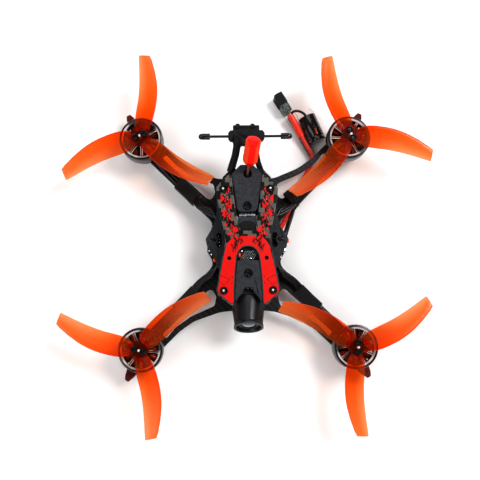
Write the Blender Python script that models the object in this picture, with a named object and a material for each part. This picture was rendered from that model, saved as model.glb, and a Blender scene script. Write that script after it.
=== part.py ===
"""FPV racing drone: carbon frame, four brushless motors with three-blade propellers, tilting camera,
electronics stack, two antennas and a battery lead.

Z points up, the nose points to -Y, and the origin is the middle of the battery pad's underside,
below the middle of the square that the four motor axes make.
"""

import math

import bmesh
import bpy
from mathutils import Matrix, Vector

MM = 0.001
GAP = 0.3 * MM                      # air between touching pieces

# Frame
PAD_LENGTH = 30.0 * MM              # battery pad
PAD_WIDTH = 26.0 * MM
PAD_THICKNESS = 1.2 * MM
PLATE_THICKNESS = 3.0 * MM          # main carbon plate
DECK_SPACING = 23.0 * MM            # between the main plate and the top plate
TOP_PLATE_THICKNESS = 2.0 * MM
MOTOR_OFFSET = 58.7 * MM            # motor axis from the middle, along X and along Y
MOTOR_PAD_RADIUS = 10.6 * MM        # round end of an arm
ARM_HALF_WIDTH = 3.1 * MM
STRUT_WIDTH = 3.2 * MM              # slim brace between an arm's end and the body
BOLT_HOLE_RADIUS = 1.1 * MM
SHANK_RADIUS = BOLT_HOLE_RADIUS - GAP
STANDOFF_RADIUS = 2.2 * MM
REAR_BOLT = (12.75 * MM, 26.9 * MM)
FRONT_BOLT_Y = -27.9 * MM
FLOOR_DROP = 7.5 * MM               # battery pad's face above the ground

# Motors and propellers
BELL_RADIUS = 12.2 * MM
BELL_WALL = 1.3 * MM
BELL_HEIGHT = 9.2 * MM
BOSS_RADIUS = 4.2 * MM
SHAFT_RADIUS = 1.0 * MM
SPOKES = 9
STATOR_TEETH = 12
STATOR_HEIGHT = 4.5 * MM
BASE_THICKNESS = 1.5 * MM
WIRING_WIDTH = 5.8 * MM             # three wires side by side on an arm
WIRING_HEIGHT = 1.6 * MM
PROP_RADIUS = 46.6 * MM
PROP_HUB_HEIGHT = 4.7 * MM
PROP_SCREW_SPACING = 5.0 * MM
PROP_SCREW_HEAD = 1.9 * MM

# Electronics
BOARD_SIDE = 31.0 * MM              # flight controller, turned by 45 degrees
BOARD_HOLE_SPACING = 26.5 * MM
BOARD_THICKNESS = 1.6 * MM
BOARD_LIFT = 6.5 * MM               # over the main plate
BOARD_CENTRE_Y = 0.85 * MM
GUARD_THICKNESS = 2.0 * MM
GUARD_LIFT = 11.0 * MM              # over the main plate
VTX_SIDE = 25.0 * MM                # video transmitter
VTX_HOLE_SPACING = 20.0 * MM
VTX_CENTRE_Y = -0.15 * MM

# Camera
CAMERA_WIDTH = 18.0 * MM
CAMERA_HEIGHT = 17.0 * MM
CAMERA_DEPTH = 12.0 * MM
CAMERA_Y = -27.0 * MM               # tilt axis, halfway between the plates
CAMERA_UPTILT = math.radians(20)
CHEEK_THICKNESS = 1.2 * MM          # bracket walls beside the camera
LENS_RADIUS = 5.9 * MM
LENS_LENGTH = 14.6 * MM
LENS_GUARD_WALL = 1.8 * MM
GLASS_RADIUS = 3.5 * MM

# Antennas
RECEIVER_BAR_Y = 55.0 * MM
RECEIVER_BAR_LIFT = 3.0 * MM        # over the top plate
RECEIVER_ROD_RADIUS = 0.72 * MM
RECEIVER_HALF_LENGTH = 25.3 * MM
VTX_ANTENNA_RADIUS = 4.2 * MM
VTX_ANTENNA_LENGTH = 15.0 * MM
VTX_ANTENNA_LEAN = math.radians(44)

# Battery lead
WIRE_RADIUS = 1.35 * MM
CAPACITOR_RADIUS = 5.15 * MM
CAPACITOR_LENGTH = 16.5 * MM
PLUG_WIDTH = 5.2 * MM
PLUG_HEIGHT = 10.2 * MM
PLUG_LENGTH = 11.2 * MM

# Levels worked out from the sizes above
PLATE_BOTTOM = PAD_THICKNESS + GAP
PLATE_TOP = PLATE_BOTTOM + PLATE_THICKNESS
DECK_BOTTOM = PLATE_TOP + DECK_SPACING
DECK_TOP = DECK_BOTTOM + TOP_PLATE_THICKNESS
GROUND = -FLOOR_DROP
BOARD_BOTTOM = PLATE_TOP + BOARD_LIFT
BOARD_TOP = BOARD_BOTTOM + BOARD_THICKNESS
GUARD_BOTTOM = PLATE_TOP + GUARD_LIFT
GUARD_TOP = GUARD_BOTTOM + GUARD_THICKNESS
MOTOR_BOTTOM = PLATE_TOP + GAP
BELL_BOTTOM = MOTOR_BOTTOM + BASE_THICKNESS + 0.5 * MM
BELL_TOP = BELL_BOTTOM + BELL_HEIGHT
BOSS_TOP = BELL_TOP + 2.1 * MM
HUB_BOTTOM = BOSS_TOP + GAP
HUB_TOP = HUB_BOTTOM + PROP_HUB_HEIGHT
CHEEK_INSIDE = CAMERA_WIDTH / 2 + GAP
CHEEK_OUTSIDE = CHEEK_INSIDE + CHEEK_THICKNESS
FRONT_BOLT = (CHEEK_OUTSIDE + 0.35 * MM + STANDOFF_RADIUS, FRONT_BOLT_Y)
CAMERA_PIVOT = Vector((0, CAMERA_Y, PLATE_TOP + DECK_SPACING / 2))
RECEIVER_BAR_Z = DECK_TOP + RECEIVER_BAR_LIFT

# corner name: side of X, side of Y, angle of the first blade, and +1 for a clockwise propeller
MOTORS = {
    "rear_left": (-1, 1, math.radians(202.5), 1),
    "rear_right": (1, 1, math.radians(109.2), -1),
    "front_left": (-1, -1, math.radians(162.4), -1),
    "front_right": (1, -1, math.radians(266.6), 1),
}


# ---------------------------------------------------------------- drawing helpers

def mm(*corners):
    """Corners given in millimetres, each with x, y and a corner radius, turned to metres."""
    return [tuple(value * MM for value in corner) for corner in corners]


def mirrored(half):
    """A whole outline from its half at +X, drawn from front to rear."""
    return half + [(-x, y, radius) for x, y, radius in reversed(half)]


def rounded(corners, steps=3):
    """Outline with each corner of (x, y, radius) drawn as an arc."""
    points = []
    count = len(corners)
    for index, (x, y, radius) in enumerate(corners):
        here = Vector((x, y))
        before = Vector(corners[index - 1][:2]) - here
        after = Vector(corners[(index + 1) % count][:2]) - here
        half_angle = before.angle(after) / 2
        if radius <= 0 or half_angle > math.radians(88):
            points.append(here)
            continue
        reach = min(radius / math.tan(half_angle), 0.48 * before.length, 0.48 * after.length)
        radius = reach * math.tan(half_angle)
        before.normalize()
        after.normalize()
        centre = here + (before + after).normalized() * radius / math.sin(half_angle)
        start = here + before * reach - centre
        turn = start.angle_signed(here + after * reach - centre)
        for step in range(steps + 1):
            spun = Matrix.Rotation(-turn * step / steps, 2) @ start
            points.append(centre + spun)
    return points


def arc(centre, radius, start, end, steps):
    """Points along a circle, with angles in degrees."""
    points = []
    for step in range(steps + 1):
        angle = math.radians(start + (end - start) * step / steps)
        points.append(Vector(centre) + radius * Vector((math.cos(angle), math.sin(angle))))
    return points


def circle(x, y, radius, steps=10):
    return arc((x, y), radius, 0, 360 - 360 / steps, steps - 1)


def offset_line(points, distance):
    """Open line moved sideways to its left by a distance, with mitred corners."""
    moved = []
    for index, point in enumerate(points):
        sides = []
        for first, second in ((index - 1, index), (index, index + 1)):
            if first >= 0 and second < len(points):
                along = (Vector(points[second]) - Vector(points[first])).normalized()
                sides.append(Vector((-along.y, along.x)))
        normal = sum(sides, Vector((0, 0))).normalized()
        moved.append(Vector(point) + normal * distance / normal.dot(sides[0]))
    return moved


# ---------------------------------------------------------------- mesh helpers

def finish_mesh(bm, smooth=False):
    bmesh.ops.remove_doubles(bm, verts=bm.verts, dist=1e-7)
    bmesh.ops.recalc_face_normals(bm, faces=bm.faces)
    mesh = bpy.data.meshes.new("shape")
    bm.to_mesh(mesh)
    bm.free()
    if smooth:
        mesh.shade_smooth()
        mesh.set_sharp_from_angle(angle=math.radians(35))
    return mesh


def prism(outline, bottom, top):
    """Flat shape with upright sides."""
    bm = bmesh.new()
    face = bm.faces.new([bm.verts.new((point[0], point[1], bottom)) for point in outline])
    sides = bmesh.ops.extrude_face_region(bm, geom=[face])["geom"]
    raised = [item for item in sides if isinstance(item, bmesh.types.BMVert)]
    bmesh.ops.translate(bm, verts=raised, vec=(0, 0, top - bottom))
    return finish_mesh(bm)


def turned(profile, segments):
    """Solid turned about Z from (radius, height) points. It closes on the axis if both ends lie there."""
    bm = bmesh.new()
    rim = [bm.verts.new((radius, 0, height)) for radius, height in profile]
    edges = [bm.edges.new(pair) for pair in zip(rim, rim[1:])]
    if profile[0][0] > 0:
        edges.append(bm.edges.new((rim[-1], rim[0])))
    bmesh.ops.spin(bm, geom=rim + edges, cent=(0, 0, 0), axis=(0, 0, 1), angle=2 * math.pi,
                   steps=segments, use_merge=True)
    return finish_mesh(bm, smooth=True)


def box(low, high):
    corners = [(low[0], low[1]), (high[0], low[1]), (high[0], high[1]), (low[0], high[1])]
    return prism(corners, low[2], high[2])


def skinned(rings, smooth=False):
    """Solid through rings of equally many points, closed at both ends."""
    bm = bmesh.new()
    loops = [[bm.verts.new(point) for point in ring] for ring in rings]
    count = len(loops[0])
    for lower, upper in zip(loops, loops[1:]):
        for index in range(count):
            following = (index + 1) % count
            bm.faces.new((lower[index], lower[following], upper[following], upper[index]))
    bm.faces.new(reversed(loops[0]))
    bm.faces.new(loops[-1])
    bmesh.ops.triangulate(bm, faces=bm.faces)       # twisted sides become exact flat faces
    return finish_mesh(bm, smooth)


def ribbon(route, width, height):
    """Flat bundle along a route: its width stays level and its corners are chamfered."""
    rings = []
    for index, point in enumerate(route):
        ahead = Vector(route[min(index + 1, len(route) - 1)])
        behind = Vector(route[max(index - 1, 0)])
        along = (ahead - behind).normalized()
        across = along.cross(Vector((0, 0, 1))).normalized()
        up = across.cross(along)
        shape = ((1, -0.5), (1, 0.5), (0.7, 1), (-0.7, 1), (-1, 0.5), (-1, -0.5), (-0.7, -1), (0.7, -1))
        rings.append([Vector(point) + across * a * width / 2 + up * b * height / 2 for a, b in shape])
    return skinned(rings)


def moved(mesh, matrix):
    mesh.transform(matrix)
    if matrix.determinant() < 0:
        mesh.flip_normals()
    return mesh


def group(meshes):
    """Several separate shells in one mesh, used as one cutter or as one addition."""
    bm = bmesh.new()
    for mesh in meshes:
        bm.from_mesh(mesh)
    mesh = bpy.data.meshes.new("group")
    bm.to_mesh(mesh)
    bm.free()
    return mesh


def combined(base, tool, operation, smooth=False):
    """The result of a Boolean as a plain mesh, so that copies can share it."""
    solid = bpy.data.objects.new("solid", base)
    other = bpy.data.objects.new("tool", tool)
    for item in (solid, other):
        bpy.context.scene.collection.objects.link(item)
    modifier = solid.modifiers.new("boolean", "BOOLEAN")
    modifier.operation = operation
    modifier.solver = "EXACT"
    modifier.object = other
    bpy.context.view_layer.update()
    evaluated = solid.evaluated_get(bpy.context.evaluated_depsgraph_get())
    mesh = bpy.data.meshes.new_from_object(evaluated)
    bpy.data.objects.remove(solid)
    bpy.data.objects.remove(other)
    if smooth:
        mesh.shade_smooth()
        mesh.set_sharp_from_angle(angle=math.radians(35))
    return mesh


def without(base, *tools):
    return combined(base, group(tools), "DIFFERENCE")


def joined(base, *additions):
    for addition in additions:
        base = combined(base, addition, "UNION")
    return base


def drilled(base, places, radius, bottom, top):
    """Solid with upright round holes."""
    return without(base, *[prism(circle(x, y, radius), bottom, top) for x, y in places])


def material(name, colour, roughness, metallic=0.0):
    made = bpy.data.materials.new(name)
    made.use_nodes = True
    shader = made.node_tree.nodes["Principled BSDF"]
    shader.inputs["Base Color"].default_value = (*colour, 1)
    shader.inputs["Roughness"].default_value = roughness
    shader.inputs["Metallic"].default_value = metallic
    made.diffuse_color = (*colour, 1)
    return made


def place(name, mesh, finish, at=(0, 0, 0), turn=0.0, parent=None):
    mesh.materials.clear()
    mesh.materials.append(finish)
    piece = bpy.data.objects.new(name, mesh)
    bpy.context.scene.collection.objects.link(piece)
    piece.parent = parent
    piece.location = at
    piece.rotation_euler = (0, 0, turn)
    return piece


def pivot(name, at):
    empty = bpy.data.objects.new(name, None)
    bpy.context.scene.collection.objects.link(empty)
    empty.location = at
    return empty


def four_ways(point):
    x, y = point
    return [(-x, y), (x, y)]


# ---------------------------------------------------------------- frame

def motor_centre(side, end):
    return Vector((side * MOTOR_OFFSET, end * MOTOR_OFFSET))


def strut_edge(end):
    """Outer edge of the strut at +X, from the body's corner to the motor pad."""
    root = (15.8 * MM, 37.6 * MM) if end > 0 else (15.8 * MM, 38.7 * MM)
    bends = ((-28.6 * MM, -15.2 * MM), (-20.5 * MM, -9.6 * MM), (-12.5 * MM, -1.8 * MM))
    line = [Vector(root)] + [motor_centre(1, 1) + Vector(bend) for bend in bends]
    return [Vector((point.x, end * point.y)) for point in line]


def frame_half(end):
    """Half of one end of the main plate at +X, from the middle of the end to the waist."""
    corner = [(9.9 * MM, end * 38.0 * MM, 3 * MM)]
    strut = [(point.x, point.y, 14 * MM) for point in strut_edge(end)]
    pad = arc(motor_centre(1, -1), MOTOR_PAD_RADIUS, 181, 468, 16)
    pad = [(point.x, -end * point.y, 0) for point in pad]
    waist = [(18.0 * MM, end * 11.6 * MM, 5 * MM), (22.2 * MM, end * 4.5 * MM, 2.5 * MM)]
    return corner + strut + pad + waist


def arm_gap(end):
    """Opening between an arm and its strut at +X."""
    inner = [(20.3 * MM, 24.6 * MM, 2.5 * MM), (17.4 * MM, 29.6 * MM, 3 * MM), (18.4 * MM, 35.0 * MM, 2.0 * MM)]
    edge = [Vector((point.x, point.y)) for point in strut_edge(1)]
    back = offset_line(edge, -STRUT_WIDTH)
    strut = [(back[1].x, back[1].y, 12 * MM), (back[2].x, back[2].y, 12 * MM)]
    motor = motor_centre(1, 1)
    tip = [(motor.x - 12.9 * MM, motor.y - 5.6 * MM, 1.2 * MM), (motor.x - 10.8 * MM, motor.y - 8.3 * MM, 1.2 * MM)]
    corners = [(x, end * y, radius) for x, y, radius in inner + strut + tip]
    return rounded(corners)


def board_holes():
    reach = BOARD_HOLE_SPACING / math.sqrt(2)
    return [(reach, BOARD_CENTRE_Y), (-reach, BOARD_CENTRE_Y), (0, BOARD_CENTRE_Y + reach), (0, BOARD_CENTRE_Y - reach)]


def deck_bolts():
    return four_ways(REAR_BOLT) + four_ways(FRONT_BOLT)


def main_frame():
    half = frame_half(-1) + list(reversed(frame_half(1)))
    plate = prism(rounded(mirrored(half)), PLATE_BOTTOM, PLATE_TOP)
    bottom, top = PLATE_BOTTOM - MM, PLATE_TOP + MM
    gaps = []
    for end in (-1, 1):
        gap = arm_gap(end)
        gaps.append(prism(gap, bottom, top))
        gaps.append(prism([Vector((-point.x, point.y)) for point in gap], bottom, top))
    plate = without(plate, *gaps)
    plate = drilled(plate, deck_bolts() + board_holes(), BOLT_HOLE_RADIUS, bottom, top)
    motors = [motor_centre(side, end)[:] for side, end, _, _ in MOTORS.values()]
    return drilled(plate, motors, 2.6 * MM, bottom, top)


def battery_pad():
    x, y = PAD_WIDTH / 2, PAD_LENGTH / 2
    radius = 3 * MM
    return prism(rounded([(x, -y, radius), (x, y, radius), (-x, y, radius), (-x, -y, radius)]), 0, PAD_THICKNESS)


def top_plate():
    bolt_x, bolt_y = FRONT_BOLT
    outer = [(bolt_x - 3.95 * MM, bolt_y - 7.9 * MM, 1 * MM), (bolt_x + 3.15 * MM, bolt_y - 2.4 * MM, 1.5 * MM),
             (bolt_x + 3.95 * MM, bolt_y + 0.3 * MM, 2 * MM)]
    outer += mm((14.8, -15.2, 20), (12.9, -6.2, 3), (12.0, -1.5, 4), (12.8, 4.6, 12), (14.8, 13.5, 40))
    bolt_x, bolt_y = REAR_BOLT
    outer += [(bolt_x + 3.75 * MM, bolt_y - 2.9 * MM, 12 * MM), (bolt_x + 4.05 * MM, bolt_y + 0.7 * MM, 3 * MM),
              (bolt_x + 0.25 * MM, bolt_y + 5.1 * MM, 4 * MM), (8.3 * MM, bolt_y + 8.8 * MM, 1 * MM)]
    rear_slot = mm((7.35, 25, 20), (6.05, 15.2, 20), (5.0, 7.4, 3), (3.6, 4.2, 4))
    front_slot = mm((4.6, -4.2, 4.5), (6.1, -9.6, 5), (6.9, -17.2, 30), (7.6, -28, 12), (7.6, -33, 8), (8.0, -35.7, 0.6))
    plate = prism(rounded(mirrored(front_slot + outer + rear_slot)), DECK_BOTTOM, DECK_TOP)
    below, above = DECK_BOTTOM - MM, DECK_TOP + MM
    reach = VTX_HOLE_SPACING / 2
    small = [(sx * reach, VTX_CENTRE_Y + sy * reach) for sx in (-1, 1) for sy in (-1, 1)]
    plate = drilled(plate, deck_bolts(), BOLT_HOLE_RADIUS, below, above)
    return drilled(plate, small, 1.0 * MM, below, above)


def standoff():
    radius, height, depth = STANDOFF_RADIUS, DECK_SPACING - 2 * GAP, 6 * MM
    bore = BOLT_HOLE_RADIUS
    profile = [(0, 0), (radius, 0), (radius, height), (bore, height), (bore, height - depth), (0, height - depth)]
    return turned(profile, 12)


def bolt(head_radius, head_height, shank_length):
    """Button-head screw whose head rests at height zero."""
    profile = [(0, -shank_length), (SHANK_RADIUS, -shank_length), (SHANK_RADIUS, 0), (head_radius, 0),
               (head_radius, 0.4 * head_height), (0.6 * head_radius, head_height), (0, head_height)]
    return turned(profile, 10)


def landing_foot():
    """Motor rest with a fin that reaches down to the ground and up past the arm's end."""
    top = PLATE_BOTTOM - GAP
    disc = prism(circle(0, 0, 10.5 * MM, 24), top - 2.4 * MM, top)
    clear = MOTOR_PAD_RADIUS + 2 * GAP
    side = [(2 * MM, top - GAP), (2 * MM, top - 4 * MM), (5 * MM, GROUND), (13.5 * MM, GROUND), (19.7 * MM, top + 0.5 * MM),
            (18.8 * MM, PLATE_TOP + 1.0 * MM), (15.5 * MM, PLATE_TOP + 1.0 * MM), (clear, PLATE_TOP - 0.5 * MM), (clear, top - GAP)]
    fin = prism(side, -2.75 * MM, 2.75 * MM)
    fin = moved(fin, Matrix(((1, 0, 0, 0), (0, 0, -1, 0), (0, 1, 0, 0), (0, 0, 0, 1))))
    # seen from above the fin narrows to a rounded nose
    half = mm((0, -3.2, 0), (13.6, -2.75, 0), (16.6, -2.1, 3), (19.9, -0.7, 0.6))
    nose = rounded(half + [(x, -y, radius) for x, y, radius in reversed(half)])
    fin = combined(fin, prism(nose, GROUND - MM, PLATE_TOP + 2 * MM), "INTERSECT")
    foot = joined(disc, fin)
    return drilled(foot, [(0, 0)], 2.6 * MM, GROUND, top + MM)


# ---------------------------------------------------------------- motors and propellers

def motor_base():
    bottom, plate_top = MOTOR_BOTTOM, MOTOR_BOTTOM + BASE_THICKNESS
    bore, tube = SHAFT_RADIUS + GAP, 3.0 * MM
    tube_top = BELL_TOP - 2.8 * MM
    profile = [(bore, bottom), (9.6 * MM, bottom), (9.6 * MM, plate_top), (tube, plate_top), (tube, tube_top), (bore, tube_top)]
    return turned(profile, 16)


def stator():
    bottom = BELL_BOTTOM + 1.2 * MM
    tip, root = BELL_RADIUS - BELL_WALL - 2 * GAP, 5.6 * MM
    outline = []
    for tooth in range(STATOR_TEETH):
        middle = 2 * math.pi * tooth / STATOR_TEETH
        for radius, share in ((root, -0.3), (tip, -0.3), (tip, 0.3), (root, 0.3)):
            angle = middle + share * 2 * math.pi / STATOR_TEETH
            outline.append(Vector((radius * math.cos(angle), radius * math.sin(angle))))
    teeth = prism(outline, bottom, bottom + STATOR_HEIGHT)
    return drilled(teeth, [(0, 0)], 3.0 * MM + GAP, bottom - MM, bottom + STATOR_HEIGHT + MM)


def bell_window(index):
    """Opening between two spokes, with sides that keep the spokes one width."""
    inner, outer, half_spoke = BOSS_RADIUS + 1.1 * MM, BELL_RADIUS - 2.5 * MM, 0.65 * MM
    middle = 360 * (index + 0.5) / SPOKES
    sweeps = [180 / SPOKES - math.degrees(math.asin(half_spoke / radius)) for radius in (inner, outer)]
    points = arc((0, 0), outer, middle - sweeps[1], middle + sweeps[1], 2)
    points += arc((0, 0), inner, middle + sweeps[0], middle - sweeps[0], 1)
    return prism(points, BELL_TOP - 4 * MM, BELL_TOP + MM)


def bell():
    web_bottom, web_top = BELL_TOP - 2.4 * MM, BELL_TOP - 0.8 * MM
    inner = BELL_RADIUS - BELL_WALL
    profile = [(0, MOTOR_BOTTOM + 0.4 * MM), (SHAFT_RADIUS, MOTOR_BOTTOM + 0.4 * MM), (SHAFT_RADIUS, web_bottom), (inner, web_bottom),
               (inner, BELL_BOTTOM), (BELL_RADIUS, BELL_BOTTOM), (BELL_RADIUS, BELL_TOP - 0.8 * MM),
               (BELL_RADIUS - 0.8 * MM, BELL_TOP), (BELL_RADIUS - 1.6 * MM, BELL_TOP), (BELL_RADIUS - 2.3 * MM, web_top),
               (BOSS_RADIUS, web_top), (BOSS_RADIUS, BOSS_TOP), (0, BOSS_TOP)]
    shell = turned(profile, 18)
    shell = without(shell, *[bell_window(index) for index in range(SPOKES)])
    screws = [(0, side * PROP_SCREW_SPACING / 2) for side in (-1, 1)]
    return drilled(shell, screws, BOLT_HOLE_RADIUS, web_top - 1.2 * MM, BOSS_TOP + MM)


# radius, sideways place of the middle, chord, pitch in degrees and thickness, hub to tip
BLADE_STATIONS = ((4.0, 0.6, 8.4, 26, 2.4), (8.0, 0.8, 11.6, 28, 1.9), (14.0, 1.15, 12.6, 27, 1.5), (22.0, 1.35, 12.2, 24, 1.3),
                  (30.0, 0.6, 11.2, 20, 1.1), (38.0, -1.1, 9.5, 16, 0.9), (44.0, -2.8, 7.8, 13, 0.8), (46.6, -3.7, 6.6, 12, 0.6))
BLADE_SECTION = ((0.5, 0.0), (0.25, 0.55), (-0.2, 0.5), (-0.5, 0.05), (-0.2, -0.38), (0.25, -0.4))


def blade():
    """One blade along +Y with its leading edge at +X, higher than its trailing edge."""
    longest = BLADE_STATIONS[-1][0]
    middle = (HUB_BOTTOM + HUB_TOP) / 2
    rings = []
    for radius, sideways, chord, pitch, thickness in BLADE_STATIONS:
        angle = math.radians(pitch)
        ring = []
        for along, across in BLADE_SECTION:
            x = along * chord * MM
            z = across * thickness * MM + 0.04 * chord * MM * (1 - 4 * along * along)
            ring.append(Vector((sideways * MM + x * math.cos(angle) - z * math.sin(angle),
                                radius / longest * PROP_RADIUS,
                                middle + x * math.sin(angle) + z * math.cos(angle))))
        rings.append(ring)
    return skinned(rings, smooth=True)


def propeller(spin):
    """Three-blade propeller whose first blade lies along +Y. The spin is +1 for clockwise, -1 for the mirror image."""
    hub = []
    for step in range(24):
        angle = math.radians(15 * step + 7.5)
        radius = 5.7 * MM + 0.6 * MM * math.cos(3 * (angle - math.pi / 2))
        hub.append(Vector((radius * math.cos(angle), radius * math.sin(angle))))
    screws = [(0, side * PROP_SCREW_SPACING / 2) for side in (-1, 1)]
    whole = drilled(prism(hub, HUB_BOTTOM, HUB_TOP), screws, BOLT_HOLE_RADIUS, HUB_BOTTOM - MM, HUB_TOP + MM)
    for index in range(3):
        whole = joined(whole, moved(blade(), Matrix.Rotation(2 * math.pi * index / 3, 4, "Z")))
    return moved(whole, Matrix.Diagonal((spin, 1, 1, 1)))


# ---------------------------------------------------------------- electronics

def turned_square(side, centre_y, radius):
    reach = side / math.sqrt(2)
    corners = [(0, centre_y - reach), (reach, centre_y), (0, centre_y + reach), (-reach, centre_y)]
    return rounded([(x, y, radius) for x, y in corners])


def flight_controller():
    board = prism(turned_square(BOARD_SIDE, BOARD_CENTRE_Y, 2.4 * MM), BOARD_BOTTOM, BOARD_TOP)
    board = drilled(board, board_holes(), 1.6 * MM, BOARD_BOTTOM - MM, BOARD_TOP + MM)
    root = BOARD_TOP - 0.3 * MM
    chips = [box((-3.5 * MM, -2.6 * MM, root), (3.5 * MM, 4.3 * MM, BOARD_TOP + 1.0 * MM))]
    for side in (-1, 1):
        for y in (-6.0 * MM, 7.0 * MM):
            chips.append(box((side * 7.5 * MM - 2.4 * MM, y - 2.4 * MM, root), (side * 7.5 * MM + 2.4 * MM, y + 2.4 * MM, BOARD_TOP + 0.9 * MM)))
    return joined(board, group(chips))


def stack_guard():
    half = mm((16.0, -15.5, 1.5), (17.0, -13.0, 4), (18.9, -7.0, 4), (21.8, -3.4, 2), (22.9, 1.2, 1.5), (18.8, 7.8, 3),
              (16.5, 15.0, 8), (16.5, 24.0, 1.5))
    plate = prism(rounded(mirrored(half)), GUARD_BOTTOM, GUARD_TOP)
    below, above = GUARD_BOTTOM - MM, GUARD_TOP + MM
    window = rounded(mirrored(mm((10.5, -11.5, 3), (10.5, 15.5, 3))))
    slots = []
    for side in (-1, 1):
        oval = arc((side * 15.3 * MM, 3.3 * MM), 1.35 * MM, 0, 180, 6) + arc((side * 15.3 * MM, -2.1 * MM), 1.35 * MM, 180, 360, 6)
        slots.append(prism(oval, below, above))
    plate = without(plate, prism(window, below, above), *slots)
    return drilled(plate, board_holes()[:3], BOLT_HOLE_RADIUS, below, above)


def video_transmitter():
    bottom = DECK_BOTTOM - 6.0 * MM
    half, y = VTX_SIDE / 2, VTX_CENTRE_Y
    radius = 2 * MM
    outline = rounded([(half, y - half, radius), (half, y + half, radius), (-half, y + half, radius), (-half, y - half, radius)])
    board = prism(outline, bottom, bottom + 1.2 * MM)
    reach = VTX_HOLE_SPACING / 2
    holes = [(sx * reach, y + sy * reach) for sx in (-1, 1) for sy in (-1, 1)]
    board = drilled(board, holes, 1.1 * MM, bottom - MM, bottom + 2 * MM)
    shield = box((-7.2 * MM, y - 9.5 * MM, bottom + 1.0 * MM), (7.2 * MM, y + 12.0 * MM, DECK_BOTTOM - 1.6 * MM))
    return joined(board, shield)


def wiring_route(side, end):
    """Route of a motor's three wires: along the top of the arm, then up to the board."""
    level = PLATE_TOP + GAP + WIRING_HEIGHT / 2
    start = motor_centre(1, 1) - Vector((7.6 * MM, 8.4 * MM))
    points = [(start.x, start.y, level), (36.5 * MM, 34.2 * MM, level), (25.0 * MM, 22.3 * MM, level), (19.4 * MM, 17.4 * MM, level + 1.2 * MM),
              (14.9 * MM, 13.6 * MM, BOARD_BOTTOM - 0.2 * MM)]
    return [(side * x, end * y, z) for x, y, z in points]


# ---------------------------------------------------------------- camera

def camera_frame(mesh):
    """Camera pieces are drawn along +Z, then tipped to look forwards and upwards."""
    tip = Matrix.Rotation(math.pi / 2 - CAMERA_UPTILT, 4, "X")
    return moved(mesh, tip)


def camera_housing():
    x, y = CAMERA_WIDTH / 2, CAMERA_HEIGHT / 2
    radius = 1.5 * MM
    case = prism(rounded([(x, -y, radius), (x, y, radius), (-x, y, radius), (-x, -y, radius)]), -CAMERA_DEPTH / 2, CAMERA_DEPTH / 2)
    front = CAMERA_DEPTH / 2
    end = front + LENS_LENGTH
    seat = GLASS_RADIUS + GAP
    lens = turned([(0, front - MM), (LENS_RADIUS, front - MM), (LENS_RADIUS, end - 1.0 * MM), (LENS_RADIUS - 0.8 * MM, end),
                   (seat + 0.5 * MM, end), (seat, end - 0.8 * MM), (seat, end - 2.2 * MM), (0, end - 2.2 * MM)], 20)
    return camera_frame(joined(case, lens))


def lens_guard():
    """Tapered soft sleeve with a lip, open at the front and seated on the camera's face."""
    start = CAMERA_DEPTH / 2 + GAP
    end = CAMERA_DEPTH / 2 + LENS_LENGTH + 1.2 * MM
    bore = LENS_RADIUS + GAP
    lip = bore + LENS_GUARD_WALL
    flange = CAMERA_HEIGHT / 2 + 0.5 * MM
    profile = [(bore, start), (flange, start), (flange - 0.2 * MM, start + 4 * MM), (lip - 0.35 * MM, end - 1.8 * MM), (lip, end - 1.3 * MM),
               (lip, end), (lip - 1.0 * MM, end), (bore + 0.3 * MM, end - 1.4 * MM), (bore, end - 2.0 * MM)]
    return camera_frame(turned(profile, 24))


def lens_glass():
    end = CAMERA_DEPTH / 2 + LENS_LENGTH
    radius, back = GLASS_RADIUS, end - 1.9 * MM
    profile = [(0, back), (radius, back), (radius, back + 0.6 * MM), (0.6 * radius, back + 1.2 * MM), (0, back + 1.5 * MM)]
    return camera_frame(turned(profile, 16))


# ---------------------------------------------------------------- covers and antennas

def front_cover():
    """Printed cover that fills the front slot, with a bracket under it whose cheeks hold the camera."""
    top = DECK_TOP + GAP
    bottom = DECK_BOTTOM + 0.2 * MM
    half = mm((5.75, -11.6, 1), (6.5, -17.2, 0), (7.25, -28, 0), (7.3, -32.6, 3), (6.6, -34.4, 0.8), (5.2, -31.5, 2),
              (2.8, -28.8, 1.5), (2.2, -26.3, 1))
    plug = prism(rounded(mirrored(list(reversed(half)))), bottom, top)
    inside, outside = CHEEK_INSIDE, CHEEK_OUTSIDE
    back = box((-outside, -17.6 * MM, DECK_BOTTOM - 5 * MM), (outside, -13.4 * MM, DECK_BOTTOM - GAP))
    neck = box((-5.2 * MM, -17.2 * MM, DECK_BOTTOM - 2 * MM), (5.2 * MM, -13.8 * MM, top - MM))
    cover = joined(plug, neck, back)
    for side in (-1, 1):
        low = (min(side * inside, side * outside), -33.0 * MM, CAMERA_PIVOT.z - 4 * MM)
        high = (max(side * inside, side * outside), -16.2 * MM, DECK_BOTTOM - 2 * GAP)
        cover = joined(cover, box(low, high))
    recess = prism(circle(0, -18.8 * MM, 2.0 * MM + GAP, 16), top - 1.2 * MM, top + MM)
    cover = without(cover, recess)
    return drilled(cover, [(0, -18.8 * MM)], BOLT_HOLE_RADIUS, bottom - MM, top)


def rear_cover():
    """Printed cover in the rear slot, with a round hole at the back for the antenna's cable."""
    top = DECK_TOP + 2 * GAP
    bottom = DECK_BOTTOM - 0.6 * MM
    half = mm((3.4, 14.2, 3), (5.5, 15.2, 1.5), (6.75, 25, 20), (8.1, 33.6, 2), (8.0, 35.3, 1), (3.4, 40.0, 1.2))
    plug = prism(rounded(mirrored(half)), bottom, top)
    notch = circle(0.4 * MM, 35.0 * MM, 2.2 * MM, 16)
    recess = prism(circle(0, 17.4 * MM, 2.0 * MM + GAP, 16), top - 1.2 * MM, top + MM)
    cover = without(plug, prism(notch, bottom - MM, top + MM), recess)
    return drilled(cover, [(0, 17.4 * MM)], BOLT_HOLE_RADIUS, bottom - MM, top)


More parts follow.
